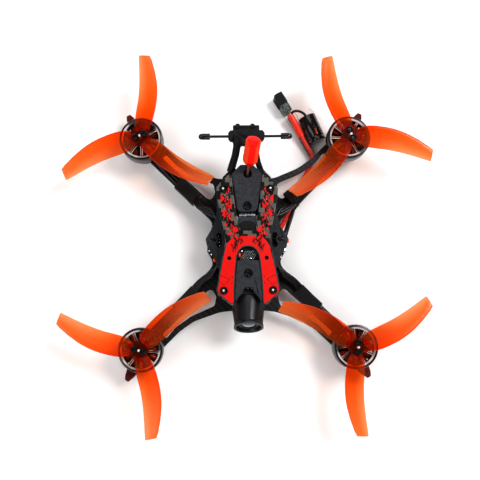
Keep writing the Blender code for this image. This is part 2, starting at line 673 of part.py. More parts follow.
def antenna_mount():
    """Printed bracket: a foot under the top plate, two legs that rise to the rear, and a holder for the bar antenna."""
    half_holder, front, rear = 9.8 * MM, RECEIVER_BAR_Y - 2.7 * MM, RECEIVER_BAR_Y + 2.9 * MM
    outline = [(-13.0 * MM, 31.6 * MM, 1), (13.0 * MM, 31.6 * MM, 1), (13.2 * MM, 33.8 * MM, 1 * MM), (9.7 * MM, 37.0 * MM, 3 * MM),
               (7.7 * MM, 42.4 * MM, 6 * MM), (6.3 * MM, 48.6 * MM, 4 * MM), (7.0 * MM, front, 0), (8.6 * MM, front, 0),
               (half_holder, front + 1.4 * MM, 0), (half_holder, rear - 1.4 * MM, 0), (8.6 * MM, rear, 0), (7.0 * MM, rear, 0),
               (7.0 * MM, rear + 2.7 * MM, 0), (-7.2 * MM, rear + 2.7 * MM, 0), (-7.2 * MM, rear, 0), (-8.6 * MM, rear, 0),
               (-half_holder, rear - 1.4 * MM, 0), (-half_holder, front + 1.4 * MM, 0), (-8.6 * MM, front, 0), (-7.4 * MM, front, 0),
               (-6.9 * MM, 49.4 * MM, 4 * MM), (-7.5 * MM, 44.3 * MM, 6 * MM), (-9.8 * MM, 37.3 * MM, 3 * MM), (-13.2 * MM, 33.8 * MM, 1 * MM)]
    inside = [(-6.6 * MM, 37.6 * MM, 1.5 * MM), (6.6 * MM, 37.6 * MM, 1.5 * MM), (4.9 * MM, 42.0 * MM, 6 * MM), (3.2 * MM, 49.6 * MM, 1.5 * MM),
              (-3.0 * MM, 50.4 * MM, 1.0 * MM), (-3.9 * MM, 45.9 * MM, 6 * MM)]
    thickness = 4.2 * MM
    flat = prism(rounded(outline), 0, thickness)
    flat = without(flat, prism(rounded(inside), -MM, thickness + MM))
    # the legs rise evenly from behind the top plate to the holder
    low = DECK_BOTTOM - 3 * GAP - thickness
    high = RECEIVER_BAR_Z - thickness / 2
    rise_start = 39.6 * MM
    for vertex in flat.vertices:
        share = (vertex.co.y - rise_start) / (front - rise_start)
        vertex.co.z += low + (high - low) * min(max(share, 0), 1)
    bore = turned([(0, -12 * MM), (RECEIVER_ROD_RADIUS + GAP, -12 * MM), (RECEIVER_ROD_RADIUS + GAP, 12 * MM), (0, 12 * MM)], 10)
    along_x = Matrix.Translation((0, RECEIVER_BAR_Y, RECEIVER_BAR_Z)) @ Matrix.Rotation(math.pi / 2, 4, "Y")
    return without(flat, moved(bore, along_x))


def receiver_antenna():
    """T-shaped antenna: one rod with a soft cap on each end."""
    rod, cap, end = RECEIVER_ROD_RADIUS, 1.7 * MM, RECEIVER_HALF_LENGTH
    half = [(0, end), (0.8 * MM, end - 0.2 * MM), (1.4 * MM, end - 0.8 * MM), (cap, end - 1.8 * MM), (cap, end - 6 * MM), (rod, end - 6 * MM)]
    profile = [(radius, -height) for radius, height in half] + list(reversed(half))
    along_x = Matrix.Translation((-0.5 * MM, RECEIVER_BAR_Y, RECEIVER_BAR_Z)) @ Matrix.Rotation(math.pi / 2, 4, "Y")
    return moved(turned(profile, 12), along_x)


def vtx_antenna():
    """Whip antenna in a moulded cap, on a thin cable that rises out of the rear cover."""
    radius, length, cable, rise = VTX_ANTENNA_RADIUS, VTX_ANTENNA_LENGTH, 0.7 * MM, 5.6 * MM
    profile = [(0, 0), (cable, 0), (cable, rise), (1.6 * MM, rise), (radius, rise + 3.2 * MM), (radius, rise + length),
               (0.85 * radius, rise + length + 1.2 * MM), (0, rise + length + 1.6 * MM)]
    lean = Matrix.Rotation(-VTX_ANTENNA_LEAN, 4, "X") @ Matrix.Rotation(math.radians(8), 4, "Y")
    return moved(turned(profile, 20), Matrix.Translation((0.4 * MM, 34.9 * MM, DECK_TOP + 0.4 * MM)) @ lean)


# ---------------------------------------------------------------- battery lead

# Each wire's route from under the board to the plug, in millimetres. The red one crosses over the black one.
BLACK_ROUTE = ((21.3, 2.8, 9.2), (22.6, 6.5, 8.4), (24.0, 10.4, 5.4), (25.7, 14.4, 0.4), (27.2, 18.6, -3.6), (28.8, 23.4, -5.4), (31.0, 29.6, -6.1),
               (34.2, 38.0, -6.1), (38.2, 46.0, -6.1), (40.0, 52.0, -6.1), (37.2, 58.2, -6.1), (33.8, 64.5, -5.9), (30.2, 71.2, -5.2),
               (27.0, 76.9, -4.9))
RED_ROUTE = ((18.0, 5.4, 9.2), (19.4, 8.2, 8.2), (21.2, 11.2, 5.0), (22.6, 14.0, 0.4), (24.4, 18.2, -1.3), (27.2, 23.6, -2.4), (30.2, 29.8, -3.0),
             (33.8, 38.0, -3.1), (38.2, 46.0, -3.1), (40.0, 52.0, -3.1), (37.2, 58.2, -3.1), (33.8, 64.5, -2.7), (30.2, 71.2, -0.9),
             (27.0, 76.9, 0.1))
PLUG_BACK = Vector((25.45 * MM, 79.55 * MM))
PLUG_DIRECTION = Vector((-0.51, 0.86)).normalized()
CAPACITOR_START = Vector((43.3 * MM, 61.0 * MM))
CAPACITOR_DIRECTION = Vector((-0.381, 0.925)).normalized()


def smooth_route(points, per_span=4):
    """Points read from a smooth curve through the route's own points."""
    knots = [Vector(point) * MM for point in points]
    padded = [2 * knots[0] - knots[1]] + knots + [2 * knots[-1] - knots[-2]]
    route = []
    for index in range(1, len(padded) - 2):
        a, b, c, d = padded[index - 1:index + 3]
        for step in range(per_span):
            t = step / per_span
            route.append(0.5 * (2 * b + (c - a) * t + (2 * a - 5 * b + 4 * c - d) * t * t + (3 * b - a - 3 * c + d) * t ** 3))
    route.append(knots[-1])
    return route


def place_wire(name, points, finish):
    curve = bpy.data.curves.new(name, "CURVE")
    curve.dimensions = "3D"
    curve.bevel_depth = WIRE_RADIUS
    curve.bevel_resolution = 2
    curve.use_fill_caps = True
    route = smooth_route(points, 2)
    spline = curve.splines.new("POLY")
    spline.points.add(len(route) - 1)
    for target, point in zip(spline.points, route):
        target.co = (*point, 1)
    curve.materials.append(finish)
    wire = bpy.data.objects.new(name, curve)
    bpy.context.scene.collection.objects.link(wire)


def power_plug():
    """Two-pole plug standing on its narrow side, with a waisted back where the wires are soldered."""
    body = box((-PLUG_WIDTH / 2, 0, 0), (PLUG_WIDTH / 2, PLUG_LENGTH, PLUG_HEIGHT))
    inset = 0.5 * MM
    back = box((-PLUG_WIDTH / 2 + inset, -2.0 * MM, inset), (PLUG_WIDTH / 2 - inset, 1.0 * MM, PLUG_HEIGHT - inset))
    plug = joined(body, back)
    pins = []
    for share in (0.26, 0.74):
        pin = turned([(0, -6 * MM), (1.3 * MM, -6 * MM), (1.3 * MM, 6 * MM), (0, 6 * MM)], 12)
        at = Matrix.Translation((0, PLUG_LENGTH, share * PLUG_HEIGHT)) @ Matrix.Rotation(math.pi / 2, 4, "X")
        pins.append(moved(pin, at))
    return without(plug, *pins)


def capacitor():
    radius, length = CAPACITOR_RADIUS, CAPACITOR_LENGTH
    profile = [(0, 0), (radius - 0.5 * MM, 0), (radius, 0.5 * MM), (radius, 1.8 * MM), (radius - 0.4 * MM, 2.4 * MM), (radius, 3.0 * MM),
               (radius, length - 0.5 * MM), (radius - 0.5 * MM, length), (0, length)]
    lying = Matrix.Rotation(-math.pi / 2, 4, "X")
    return moved(turned(profile, 18), lying)


# ---------------------------------------------------------------- build

for leftover in list(bpy.data.objects):
    bpy.data.objects.remove(leftover)

carbon = material("carbon", (0.05, 0.05, 0.045), 0.35)
printed_carbon = material("printed_carbon", (0.75, 0.03, 0.01), 0.4)
soft_grey = material("soft_grey", (0.05, 0.05, 0.06), 0.8)
soft_red = material("soft_red", (0.16, 0.015, 0.01), 0.7)
anodised = material("anodised", (0.02, 0.02, 0.02), 0.3, 0.8)
copper = material("copper", (0.55, 0.2, 0.09), 0.35, 1.0)
base_metal = material("base_metal", (0.05, 0.05, 0.05), 0.4, 0.8)
orange = material("orange", (1.0, 0.16, 0.01), 0.3)
black_steel = material("black_steel", (0.02, 0.02, 0.02), 0.3, 0.9)
circuit = material("circuit", (0.02, 0.03, 0.025), 0.5)
shield_metal = material("shield_metal", (0.6, 0.6, 0.6), 0.3, 1.0)
rubber = material("rubber", (0.02, 0.02, 0.02), 0.9)
camera_black = material("camera_black", (0.015, 0.015, 0.018), 0.5)
lens_clear = material("lens_clear", (0.1, 0.15, 0.2), 0.05)
antenna_red = material("antenna_red", (0.9, 0.02, 0.0), 0.35)
red_silicone = material("red_silicone", (0.7, 0.03, 0.02), 0.45)
black_silicone = material("black_silicone", (0.015, 0.015, 0.015), 0.45)

place("main_frame", main_frame(), carbon)
place("battery_pad", battery_pad(), rubber)
place("top_plate", top_plate(), printed_carbon)
place("flight_controller", flight_controller(), circuit)
place("stack_guard", stack_guard(), soft_grey)
place("video_transmitter", video_transmitter(), shield_metal)
place("front_cover", front_cover(), soft_grey)
place("rear_cover", rear_cover(), soft_grey)
place("antenna_mount", antenna_mount(), soft_grey)
place("receiver_antenna", receiver_antenna(), rubber)
place("vtx_antenna", vtx_antenna(), antenna_red)

post = standoff()
long_bolt = bolt(2.15 * MM, 1.4 * MM, TOP_PLATE_THICKNESS + 5 * MM)
for label, (x, y) in zip(("rear_left", "rear_right", "front_left", "front_right"), deck_bolts()):
    place("standoff_" + label, post, base_metal, (x, y, PLATE_TOP + GAP))
    place("deck_bolt_" + label, long_bolt, black_steel, (x, y, DECK_TOP + GAP))

cover_bolt = bolt(1.9 * MM, 0.9 * MM, 2.6 * MM)
place("cover_screw_front", cover_bolt, black_steel, (0, -18.8 * MM, DECK_TOP + GAP - 1.2 * MM + GAP))
place("cover_screw_rear", cover_bolt, black_steel, (0, 17.4 * MM, DECK_TOP + 2 * GAP - 1.2 * MM + GAP))

camera_axis = pivot("camera_axis", CAMERA_PIVOT)
place("camera_housing", camera_housing(), camera_black, parent=camera_axis)
place("lens_guard", lens_guard(), soft_grey, parent=camera_axis)
place("lens_glass", lens_glass(), lens_clear, parent=camera_axis)

foot = landing_foot()
base = motor_base()
coils = stator()
rotor_bell = bell()
blades = {spin: propeller(spin) for spin in (-1, 1)}
prop_bolt = bolt(PROP_SCREW_HEAD, 1.3 * MM, HUB_TOP + GAP - (BELL_TOP - 1.6 * MM))
for label, (side, end, blade_angle, spin) in MOTORS.items():
    at = motor_centre(side, end)
    foot_angle = math.atan2(end * 17.5, side * 9.0)
    place("landing_foot_" + label, foot, soft_red, (at.x, at.y, 0), foot_angle)
    place("motor_base_" + label, base, base_metal, (at.x, at.y, 0))
    place("stator_" + label, coils, copper, (at.x, at.y, 0))
    place("motor_wiring_" + label, ribbon(wiring_route(side, end), WIRING_WIDTH, WIRING_HEIGHT), black_silicone)
    axis = pivot("rotor_axis_" + label, (at.x, at.y, 0))
    turn = blade_angle - math.pi / 2
    place("bell_" + label, rotor_bell, anodised, turn=turn, parent=axis)
    place("propeller_" + label, blades[spin], orange, turn=turn, parent=axis)
    for letter, way in (("a", 1), ("b", -1)):
        offset = Vector((math.cos(blade_angle), math.sin(blade_angle))) * way * PROP_SCREW_SPACING / 2
        place("prop_screw_" + letter + "_" + label, prop_bolt, black_steel, (offset.x, offset.y, HUB_TOP + GAP), parent=axis)

place_wire("lead_red", RED_ROUTE, red_silicone)
place_wire("lead_black", BLACK_ROUTE, black_silicone)
plug_turn = math.atan2(PLUG_DIRECTION.y, PLUG_DIRECTION.x) - math.pi / 2
place("power_plug", power_plug(), camera_black, (PLUG_BACK.x, PLUG_BACK.y, GROUND), plug_turn)
capacitor_turn = math.atan2(CAPACITOR_DIRECTION.y, CAPACITOR_DIRECTION.x) - math.pi / 2
place("capacitor", capacitor(), rubber, (CAPACITOR_START.x, CAPACITOR_START.y, GROUND + CAPACITOR_RADIUS), capacitor_turn)
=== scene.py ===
"""FPV racing drone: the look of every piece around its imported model.

Z points up, the nose points to -Y, lengths are in metres and MM turns millimetres into them.
"""

import math
import random

import bmesh
import bpy
from mathutils import Matrix, Vector
from mathutils.geometry import tessellate_polygon


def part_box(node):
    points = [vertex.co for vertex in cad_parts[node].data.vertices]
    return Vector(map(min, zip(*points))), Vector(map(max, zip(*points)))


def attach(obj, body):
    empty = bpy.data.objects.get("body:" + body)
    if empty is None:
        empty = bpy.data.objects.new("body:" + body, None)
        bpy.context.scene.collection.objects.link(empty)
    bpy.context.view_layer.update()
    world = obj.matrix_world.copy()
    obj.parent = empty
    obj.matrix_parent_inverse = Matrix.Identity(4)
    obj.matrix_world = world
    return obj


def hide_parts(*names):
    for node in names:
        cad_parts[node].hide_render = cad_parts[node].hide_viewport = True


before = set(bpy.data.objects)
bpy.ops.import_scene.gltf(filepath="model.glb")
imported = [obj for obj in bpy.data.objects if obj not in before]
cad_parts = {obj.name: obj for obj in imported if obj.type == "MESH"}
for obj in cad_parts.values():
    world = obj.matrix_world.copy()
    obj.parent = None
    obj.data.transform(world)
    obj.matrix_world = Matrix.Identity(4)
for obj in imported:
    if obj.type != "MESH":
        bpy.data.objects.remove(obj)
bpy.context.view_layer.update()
MM = 0.001


# ---------------------------------------------------------------- camera and picture

# It hangs 0.4 m above the nose and looks almost straight down, with a mild long lens. A plain
# view with more contrast keeps the orange and red saturated on white, and the blacks deep.
eye = bpy.data.objects.new("eye", bpy.data.cameras.new("eye"))
eye.data.lens, eye.data.sensor_width = 52.7, 36.0
eye.location = Vector((-12.23, -47.2, 401.5)) * MM
eye.rotation_euler = (Matrix.Rotation(-0.014, 3, "Z") @ Matrix.Rotation(-0.020, 3, "Y")
                      @ Matrix.Rotation(0.124, 3, "X")).to_euler()
eye.data.clip_start, eye.data.clip_end = 0.01, 10
bpy.context.scene.collection.objects.link(eye)
bpy.context.scene.camera = eye
bpy.context.scene.view_settings.view_transform = "Standard"
bpy.context.scene.view_settings.look = "Medium High Contrast"


# ---------------------------------------------------------------- battery lead

# Two silicone-insulated 14 AWG wires run from the side of the board down to the floor, cross the
# right rear arm underneath and end soldered into the plug. The red one lies on the black one.

def linear(code):
    """Linear colour from an sRGB hex code."""
    shares = [int(code[at:at + 2], 16) / 255 for at in (1, 3, 5)]
    return [share / 12.92 if share <= 0.04045 else ((share + 0.055) / 1.055) ** 2.4
            for share in shares] + [1.0]


def add_node(tree, kind, inputs=(), **settings):
    """A shader node. Its inputs are values or other nodes' outputs, by name or number."""
    node = tree.nodes.new("ShaderNode" + kind)
    for name, value in settings.items():
        setattr(node, name, value)
    for name, value in dict(inputs).items():
        if isinstance(value, bpy.types.NodeSocket):
            tree.links.new(value, node.inputs[name])
        else:
            node.inputs[name].default_value = value
    return node


def in_mm(tree, stretch=(1, 1, 1)):
    """The object's own place in millimetres, which sets every pattern's real size."""
    place = add_node(tree, "TexCoord").outputs["Object"]
    scale = Vector(stretch) * 1000
    return add_node(tree, "VectorMath", {0: place, 1: scale}, operation="MULTIPLY").outputs[0]


def noise(tree, place, size, detail=3.0):
    return add_node(tree, "TexNoise", {"Vector": place, "Scale": 1 / size, "Detail": detail}).outputs[0]


def between(tree, factor, first, second):
    """A colour that goes from the first to the second, each a hex code or an output."""
    first, second = [linear(code) if isinstance(code, str) else code for code in (first, second)]
    return add_node(tree, "Mix", {0: factor, 6: first, 7: second}, data_type="RGBA").outputs[2]


def levels(tree, value, low, high, to_low=0.0, to_high=1.0):
    """A value stretched from one range to another, and clamped."""
    return add_node(tree, "MapRange", {0: value, 1: low, 2: high, 3: to_low, 4: to_high}).outputs[0]


def material(name, roughness, metallic=0.0, **inputs):
    """A material with one principled shader, whose further inputs are named with underscores."""
    made = bpy.data.materials.new(name)
    made.use_nodes = True
    shader = made.node_tree.nodes["Principled BSDF"]
    # plastics and rubber get a weak highlight, so that blacks stay deep under the wide lamps
    gloss = 0.5 if metallic else 0.22
    values = {"Roughness": roughness, "Metallic": metallic, "Specular_IOR_Level": gloss, **inputs}
    for key, value in values.items():
        shader.inputs[key.replace("_", " ")].default_value = value
    return made, made.node_tree, shader


def finish(tree, shader, colour=None, roughness=None, height=None, depth=0.1, strength=1.0):
    """Joins a colour, a roughness and a relief, whose depth is in millimetres, to a shader."""
    if isinstance(colour, str):
        shader.inputs["Base Color"].default_value = linear(colour)
    elif colour is not None:
        tree.links.new(colour, shader.inputs["Base Color"])
    if roughness is not None:
        tree.links.new(roughness, shader.inputs["Roughness"])
    if height is not None:
        relief = add_node(tree, "Bump", {"Height": height, "Distance": depth * MM, "Strength": strength})
        tree.links.new(relief.outputs[0], shader.inputs["Normal"])


def silicone(name, dark, light):
    """Soft extruded silicone: a satin skin with a fine mottle and a trace of dust."""
    made, tree, shader = material(name, 0.38, Specular_IOR_Level=0.35)
    place = in_mm(tree)
    patches = noise(tree, place, 3.0)
    finish(tree, shader, between(tree, patches, dark, light),
           levels(tree, noise(tree, place, 0.6), 0.3, 0.7, 0.3, 0.48), noise(tree, place, 0.35), 0.02)
    return made


def smooth_route(points, per_span):
    """Points, given in millimetres, read from a smooth curve through all of them."""
    knots = [Vector(point) * MM for point in points]
    padded = [2 * knots[0] - knots[1]] + knots + [2 * knots[-1] - knots[-2]]
    route = []
    for index in range(1, len(padded) - 2):
        a, b, c, d = padded[index - 1:index + 3]
        for step in range(per_span):
            t = step / per_span
            route.append(0.5 * (2 * b + (c - a) * t + (2 * a - 5 * b + 4 * c - d) * t * t
                                + (3 * b - a - 3 * c + d) * t ** 3))
    return route + [knots[-1]]


def wire(name, route, radius, finish_with, body="airframe"):
    """A round wire along a route of points in metres."""
    curve = bpy.data.curves.new(name, "CURVE")
    curve.dimensions = "3D"
    curve.bevel_depth, curve.bevel_resolution, curve.use_fill_caps = radius, 4, True
    spline = curve.splines.new("POLY")
    spline.points.add(len(route) - 1)
    for target, point in zip(spline.points, route):
        target.co = (*point, 1)
    spline.use_smooth = True
    curve.materials.append(finish_with)
    made = bpy.data.objects.new(name, curve)
    bpy.context.scene.collection.objects.link(made)
    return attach(made, body)


red_silicone = silicone("red silicone insulation", "#c81e14", "#e83a26")
black_silicone = silicone("black silicone insulation", "#0b0b0d", "#191a1d")
black_route = smooth_route(((21.3, 2.8, 9.2), (22.6, 6.5, 8.4), (24.0, 10.4, 5.4), (25.7, 14.4, 0.4),
                            (27.2, 18.6, -3.6),
                            (28.8, 23.4, -5.4), (31.0, 29.6, -6.1), (34.2, 38.0, -6.1), (38.2, 46.0, -6.1),
                            (40.0, 52.0, -6.1), (37.2, 58.2, -6.1), (33.8, 64.5, -5.9), (30.2, 71.2, -5.2),
                            (27.0, 76.9, -4.9)), 4)
red_route = smooth_route(((18.0, 5.4, 9.2), (19.4, 8.2, 8.2), (21.2, 11.2, 5.0), (22.6, 14.0, 0.4),
                          (24.4, 18.2, -1.3),
                          (27.2, 23.6, -2.4), (30.2, 29.8, -3.0), (33.8, 38.0, -3.1), (38.2, 46.0, -3.1),
                          (40.0, 52.0, -3.1), (37.2, 58.2, -3.1), (33.8, 64.5, -2.7), (30.2, 71.2, -0.9),
                          (27.0, 76.9, 0.1)), 4)
lead_black = wire("lead_black_wire", black_route, 1.35 * MM, black_silicone)
lead_red = wire("lead_red_wire", red_route, 1.35 * MM, red_silicone)
for lead, node, slot in ((lead_black, "lead_black", "black_silicone"),
                         (lead_red, "lead_red", "red_silicone")):
    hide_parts(node)


# ---------------------------------------------------------------- plug

# Glass-filled nylon body of a two-pole plug, standing on its narrow side. Its gold cups are
# soldered to the wires behind it, inside a short grey potted block.

def mesh_from(bm, finish_with, name, smooth=35):
    """A mesh whose edges are sharp past an angle in degrees, with one material or a list of them."""
    bmesh.ops.remove_doubles(bm, verts=bm.verts, dist=1e-7)
    bmesh.ops.recalc_face_normals(bm, faces=bm.faces)
    mesh = bpy.data.meshes.new(name)
    bm.to_mesh(mesh)
    bm.free()
    mesh.shade_smooth()
    mesh.set_sharp_from_angle(angle=math.radians(smooth))
    for each in finish_with if isinstance(finish_with, list) else [finish_with]:
        mesh.materials.append(each)
    return mesh


def outcome(shape, finish_with, name, body, at=None, smooth=35, replaces=()):
    """Turns a mesh under construction, or a mesh to be shared, into a piece that rides on a body."""
    shared = isinstance(shape, bpy.types.Mesh)
    mesh = shape if shared else mesh_from(shape, finish_with, name, smooth)
    made = bpy.data.objects.new(name, mesh)
    bpy.context.scene.collection.objects.link(made)
    if at is not None:
        made.matrix_world = at
    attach(made, body)
    if replaces:
        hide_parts(*replaces)
    return made


def loft(bm, rings, close=True, caps=(True, True), material_index=0):
    """Skin through rings of equally many points."""
    loops = [[bm.verts.new(point) for point in ring] for ring in rings]
    count = len(loops[0])
    made = []
    for lower, upper in zip(loops, loops[1:]):
        for index in range(count if close else count - 1):
            after = (index + 1) % count
            made.append(bm.faces.new((lower[index], lower[after], upper[after], upper[index])))
    if caps[0]:
        made.append(bm.faces.new(list(reversed(loops[0]))))
    if caps[1]:
        made.append(bm.faces.new(loops[-1]))
    for face in made:
        face.material_index = material_index
    return loops


def ring(radius, height, count, centre=(0, 0), start=0.0):
    return [Vector((centre[0] + radius * math.cos(start + 2 * math.pi * index / count),
                    centre[1] + radius * math.sin(start + 2 * math.pi * index / count), height)) * MM
            for index in range(count)]


def lathe(bm, profile, count=48, centre=(0, 0), material_index=0, caps=(True, True)):
    """A turned shape about an upright line, from (radius, height) in millimetres."""
    loft(bm, [ring(max(radius, 0.001), height, count, centre) for radius, height in profile],
         caps=caps, material_index=material_index)


def lying_ring(radius, along, count, height=0.0):
    """A ring about a line that runs along Y at some height."""
    return [Vector((radius * math.cos(a), along, height + radius * math.sin(a))) * MM
            for a in [2 * math.pi * index / count for index in range(count)]]


def rounded_box(bm, low, high, radius, steps=3, edge=0.25):
    """Upright box in millimetres with round upright corners and small chamfers above and below."""
    def outline(inset, height):
        points = []
        for corner, (sx, sy) in enumerate(((1, 1), (-1, 1), (-1, -1), (1, -1))):
            x = (high[0] if sx > 0 else low[0]) - sx * radius
            y = (high[1] if sy > 0 else low[1]) - sy * radius
            for step in range(steps + 1):
                angle = math.pi / 2 * (corner + step / steps)
                reach = max(radius - inset, 0.01)
                points.append(Vector((x + reach * math.cos(angle), y + reach * math.sin(angle),
                                      height)) * MM)
        return points
    loft(bm, [outline(edge, low[2]), outline(0, low[2] + edge), outline(0, high[2] - edge),
              outline(edge, high[2])])


def aimed(place, direction):
    """A matrix that puts a piece drawn along +Y at a place in millimetres and points it that way."""
    y = Vector(direction).normalized()
    x = y.cross(Vector((0, 0, 1))).normalized()
    z = x.cross(y)
    return Matrix.Translation(Vector(place) * MM) @ Matrix((x, y, z)).transposed().to_4x4()


# moulded glass-filled nylon: dull, with a fine grain from the glass
nylon, tree, shader = material("black glass-filled nylon", 0.5, Specular_IOR_Level=0.15)
place = in_mm(tree)
finish(tree, shader, between(tree, noise(tree, place, 1.4), "#0c0c0e", "#18181b"),
       levels(tree, noise(tree, place, 0.5), 0.3, 0.7, 0.42, 0.6), noise(tree, place, 0.25, 5), 0.03)

# solder cups under hazy film: blotched grey, half glossy
potting, tree, shader = material("grey solder cups under film", 0.25)
place = in_mm(tree)
blotches = levels(tree, noise(tree, place, 1.1, 5), 0.38, 0.62)
finish(tree, shader, between(tree, blotches, "#17191a", "#626a69"), None, blotches, 0.15)

# plated contact: warm and bright
gold, tree, shader = material("gold-plated contact", 0.22, 1.0)
finish(tree, shader, between(tree, noise(tree, in_mm(tree), 0.8), "#c89a3c", "#e8c368"))

plug_at = aimed((25.45, 79.55, -7.5), (-0.51, 0.86, 0))
bm = bmesh.new()
rounded_box(bm, (-2.6, 3.9, 0), (2.6, 11.2, 10.2), 0.5, edge=0.35)
for height in (2.0, 3.6, 5.2, 6.8, 8.4):                     # grip ribs on both flat sides
    for side in (-1, 1):
        rounded_box(bm, (side * 2.55 - 0.2, 4.6, height - 0.3), (side * 2.55 + 0.2, 9.4, height + 0.3),
                    0.15, 2, 0.12)
pole_heights = (0.26 * 10.2, 0.74 * 10.2)
for height in pole_heights:                                  # collars round the two mating sockets
    for radius, length in ((1.9, 0.35), (1.6, 0.7)):
        loft(bm, [lying_ring(radius, along, 20, height) for along in (10.9, 10.85 + length)])
plug = outcome(bm, nylon, "plug_body", "airframe", plug_at, replaces=("power_plug",))
bm = bmesh.new()
rounded_box(bm, (-2.45, -1.2, 0.3), (2.45, 4.3, 9.9), 0.7, edge=0.45)
plug_back = outcome(bm, potting, "plug_solder_block", "airframe", plug_at)
bm = bmesh.new()
for height in pole_heights:
    loft(bm, [lying_ring(radius, along, 18, height)
              for radius, along in ((1.3, 11.25), (1.3, 11.62), (0.9, 11.62), (0.9, 11.3))])
plug_pins = outcome(bm, gold, "plug_contacts", "airframe", plug_at)


# ---------------------------------------------------------------- capacitor and heat-shrink

# An aluminium electrolytic capacitor in a printed black sleeve lies beside the lead, wired across
# the plug by its own short wire. Red tubing covers the red joint, clear tubing the whole bundle.

# shrunk sleeve: deep black gloss, with rows of pale print
capacitor_sleeve, tree, shader = material("capacitor's black sleeve", 0.16, Coat_Weight=0.6,
                                          Coat_Roughness=0.08)
place = in_mm(tree)
# pale lines of small print round the sleeve, with no real letters
around = add_node(tree, "SeparateXYZ", {0: place}).outputs
dashes = levels(tree, noise(tree, in_mm(tree, (1.6, 2.6, 1.0)), 1.0, 1), 0.56, 0.6)
rows = add_node(tree, "Math", {0: around[1], 1: 2.4}, operation="PINGPONG").outputs[0]
rows = levels(tree, rows, 0.9, 1.0)
marks = add_node(tree, "Math", {0: dashes, 1: rows}, operation="MULTIPLY").outputs[0]
marks = add_node(tree, "Math", {0: marks, 1: levels(tree, around[0], -4.6, -3.4, 0.55, 0.0)},
                 operation="MULTIPLY").outputs[0]
finish(tree, shader, between(tree, marks, "#08090a", "#8e9290"), None, noise(tree, place, 3.0), 0.02)

# drawn aluminium: bright and slightly cloudy
aluminium, tree, shader = material("bare aluminium can", 0.3, 1.0)
finish(tree, shader, between(tree, noise(tree, in_mm(tree), 1.5), "#8d8f92", "#c4c6c9"))

# shrunk tubing: a soft shine, with shallow waves
red_shrink, tree, shader = material("red heat-shrink tubing", 0.33, Coat_Weight=0.3, Coat_Roughness=0.2)
place = in_mm(tree)
finish(tree, shader, between(tree, noise(tree, place, 2.5), "#dc2410", "#f23c22"), None,
       noise(tree, in_mm(tree, (1, 1, 0.4)), 0.9), 0.06)

# clear tubing: almost unseen, and grey where it turns away, partly its haze and partly painted reflection
clear_shrink, tree, shader = material("clear heat-shrink tubing", 0.12, Specular_IOR_Level=0.8)
rim = add_node(tree, "LayerWeight", {"Blend": 0.5}).outputs["Facing"]
tree.links.new(levels(tree, rim, 0.55, 1.0, 0.03, 0.6), shader.inputs["Alpha"])
finish(tree, shader, "#5d6466", None, noise(tree, in_mm(tree), 3.0), 0.1)

can_at = aimed((43.3, 61.0, -2.35), (-0.381, 0.925, 0))
bm = bmesh.new()
profile = ((0.1, 0.0), (3.9, 0.0), (4.75, 0.1), (5.05, 0.45), (5.1, 1.2), (5.1, 1.7), (4.75, 2.2),
           (4.7, 2.5), (5.05, 3.0),
           (5.12, 3.6), (5.12, 15.9), (4.95, 16.3), (4.4, 16.45), (4.3, 16.3))
loft(bm, [lying_ring(radius, along, 40) for radius, along in profile], caps=(True, False))
can = outcome(bm, capacitor_sleeve, "capacitor_can", "airframe", can_at,
              replaces=("capacitor",))
bm = bmesh.new()
loft(bm, [lying_ring(radius, along, 32) for radius, along in ((4.32, 16.2), (4.3, 16.32), (0.05, 16.4))],
     caps=(False, True))
for angle in (0.4, 0.4 + 2 * math.pi / 3, 0.4 + 4 * math.pi / 3):   # the scored vent lines
    along = Vector((math.cos(angle), 0, math.sin(angle)))
    side = Vector((-math.sin(angle), 0, math.cos(angle))) * 0.12
    groove = [along * 0.3 + side, along * 3.6 + side, along * 3.6 - side, along * 0.3 - side]
    loft(bm, [[(Vector((0, y, 0)) + point) * MM for point in groove] for y in (16.35, 16.47)])
can_top = outcome(bm, aluminium, "capacitor_vent", "airframe", can_at)

tube_route = [point for point in red_route if point.y > 64.3 * MM]
red_tube = wire("red_heat_shrink", tube_route, 1.95 * MM, red_shrink)
can_wire = wire("capacitor_wire",
                smooth_route(((27.6, 77.3, 1.6), (29.8, 78.1, 3.2), (32.8, 77.9, 2.6), (35.4, 76.9, 0.8),
                               (36.7, 75.9, -1.4)), 5), 0.75 * MM, black_silicone)


def film(name, rows):
    """A thin clear tube through oval rows of (middle, half width, half height) in millimetres."""
    bm = bmesh.new()
    rings = []
    for index, (middle, wide, high) in enumerate(rows):
        ahead = Vector(rows[min(index + 1, len(rows) - 1)][0]) - Vector(rows[max(index - 1, 0)][0])
        across = ahead.cross(Vector((0, 0, 1))).normalized()
        rings.append([(Vector(middle) + across * wide * math.cos(a) * (1 + 0.03 * math.sin(5 * a + index))
                       + Vector((0, 0, 1)) * high * math.sin(a)) * MM
                      for a in [2 * math.pi * k / 28 for k in range(28)]])
    loft(bm, rings, caps=(False, False))
    return outcome(bm, clear_shrink, name, "airframe", smooth=60)


clear_can = film("clear_film_can", (((44.3, 58.6, -2.2), 4.9, 5.2), ((43.3, 61.0, -2.2), 5.3, 5.3),
                                    ((41.4, 65.6, -2.2), 5.35, 5.32),
                                    ((38.4, 72.9, -2.2), 5.35, 5.32), ((37.0, 76.3, -2.2), 5.2, 5.2),
                                    ((35.4, 78.2, -2.4), 4.6, 4.6)))
clear_lead = film("clear_film_lead", (((40.9, 51.8, -4.5), 2.1, 2.95), ((38.6, 56.2, -4.5), 2.2, 2.97),
                                      ((35.3, 62.4, -4.3), 2.4, 3.15),
                                      ((31.6, 69.6, -3.7), 2.7, 3.75), ((28.6, 75.0, -2.4), 3.4, 5.05),
                                      ((26.8, 77.6, -2.3), 3.1, 5.15),
                                      ((24.6, 81.0, -2.3), 2.95, 5.15)))


# ---------------------------------------------------------------- main frame

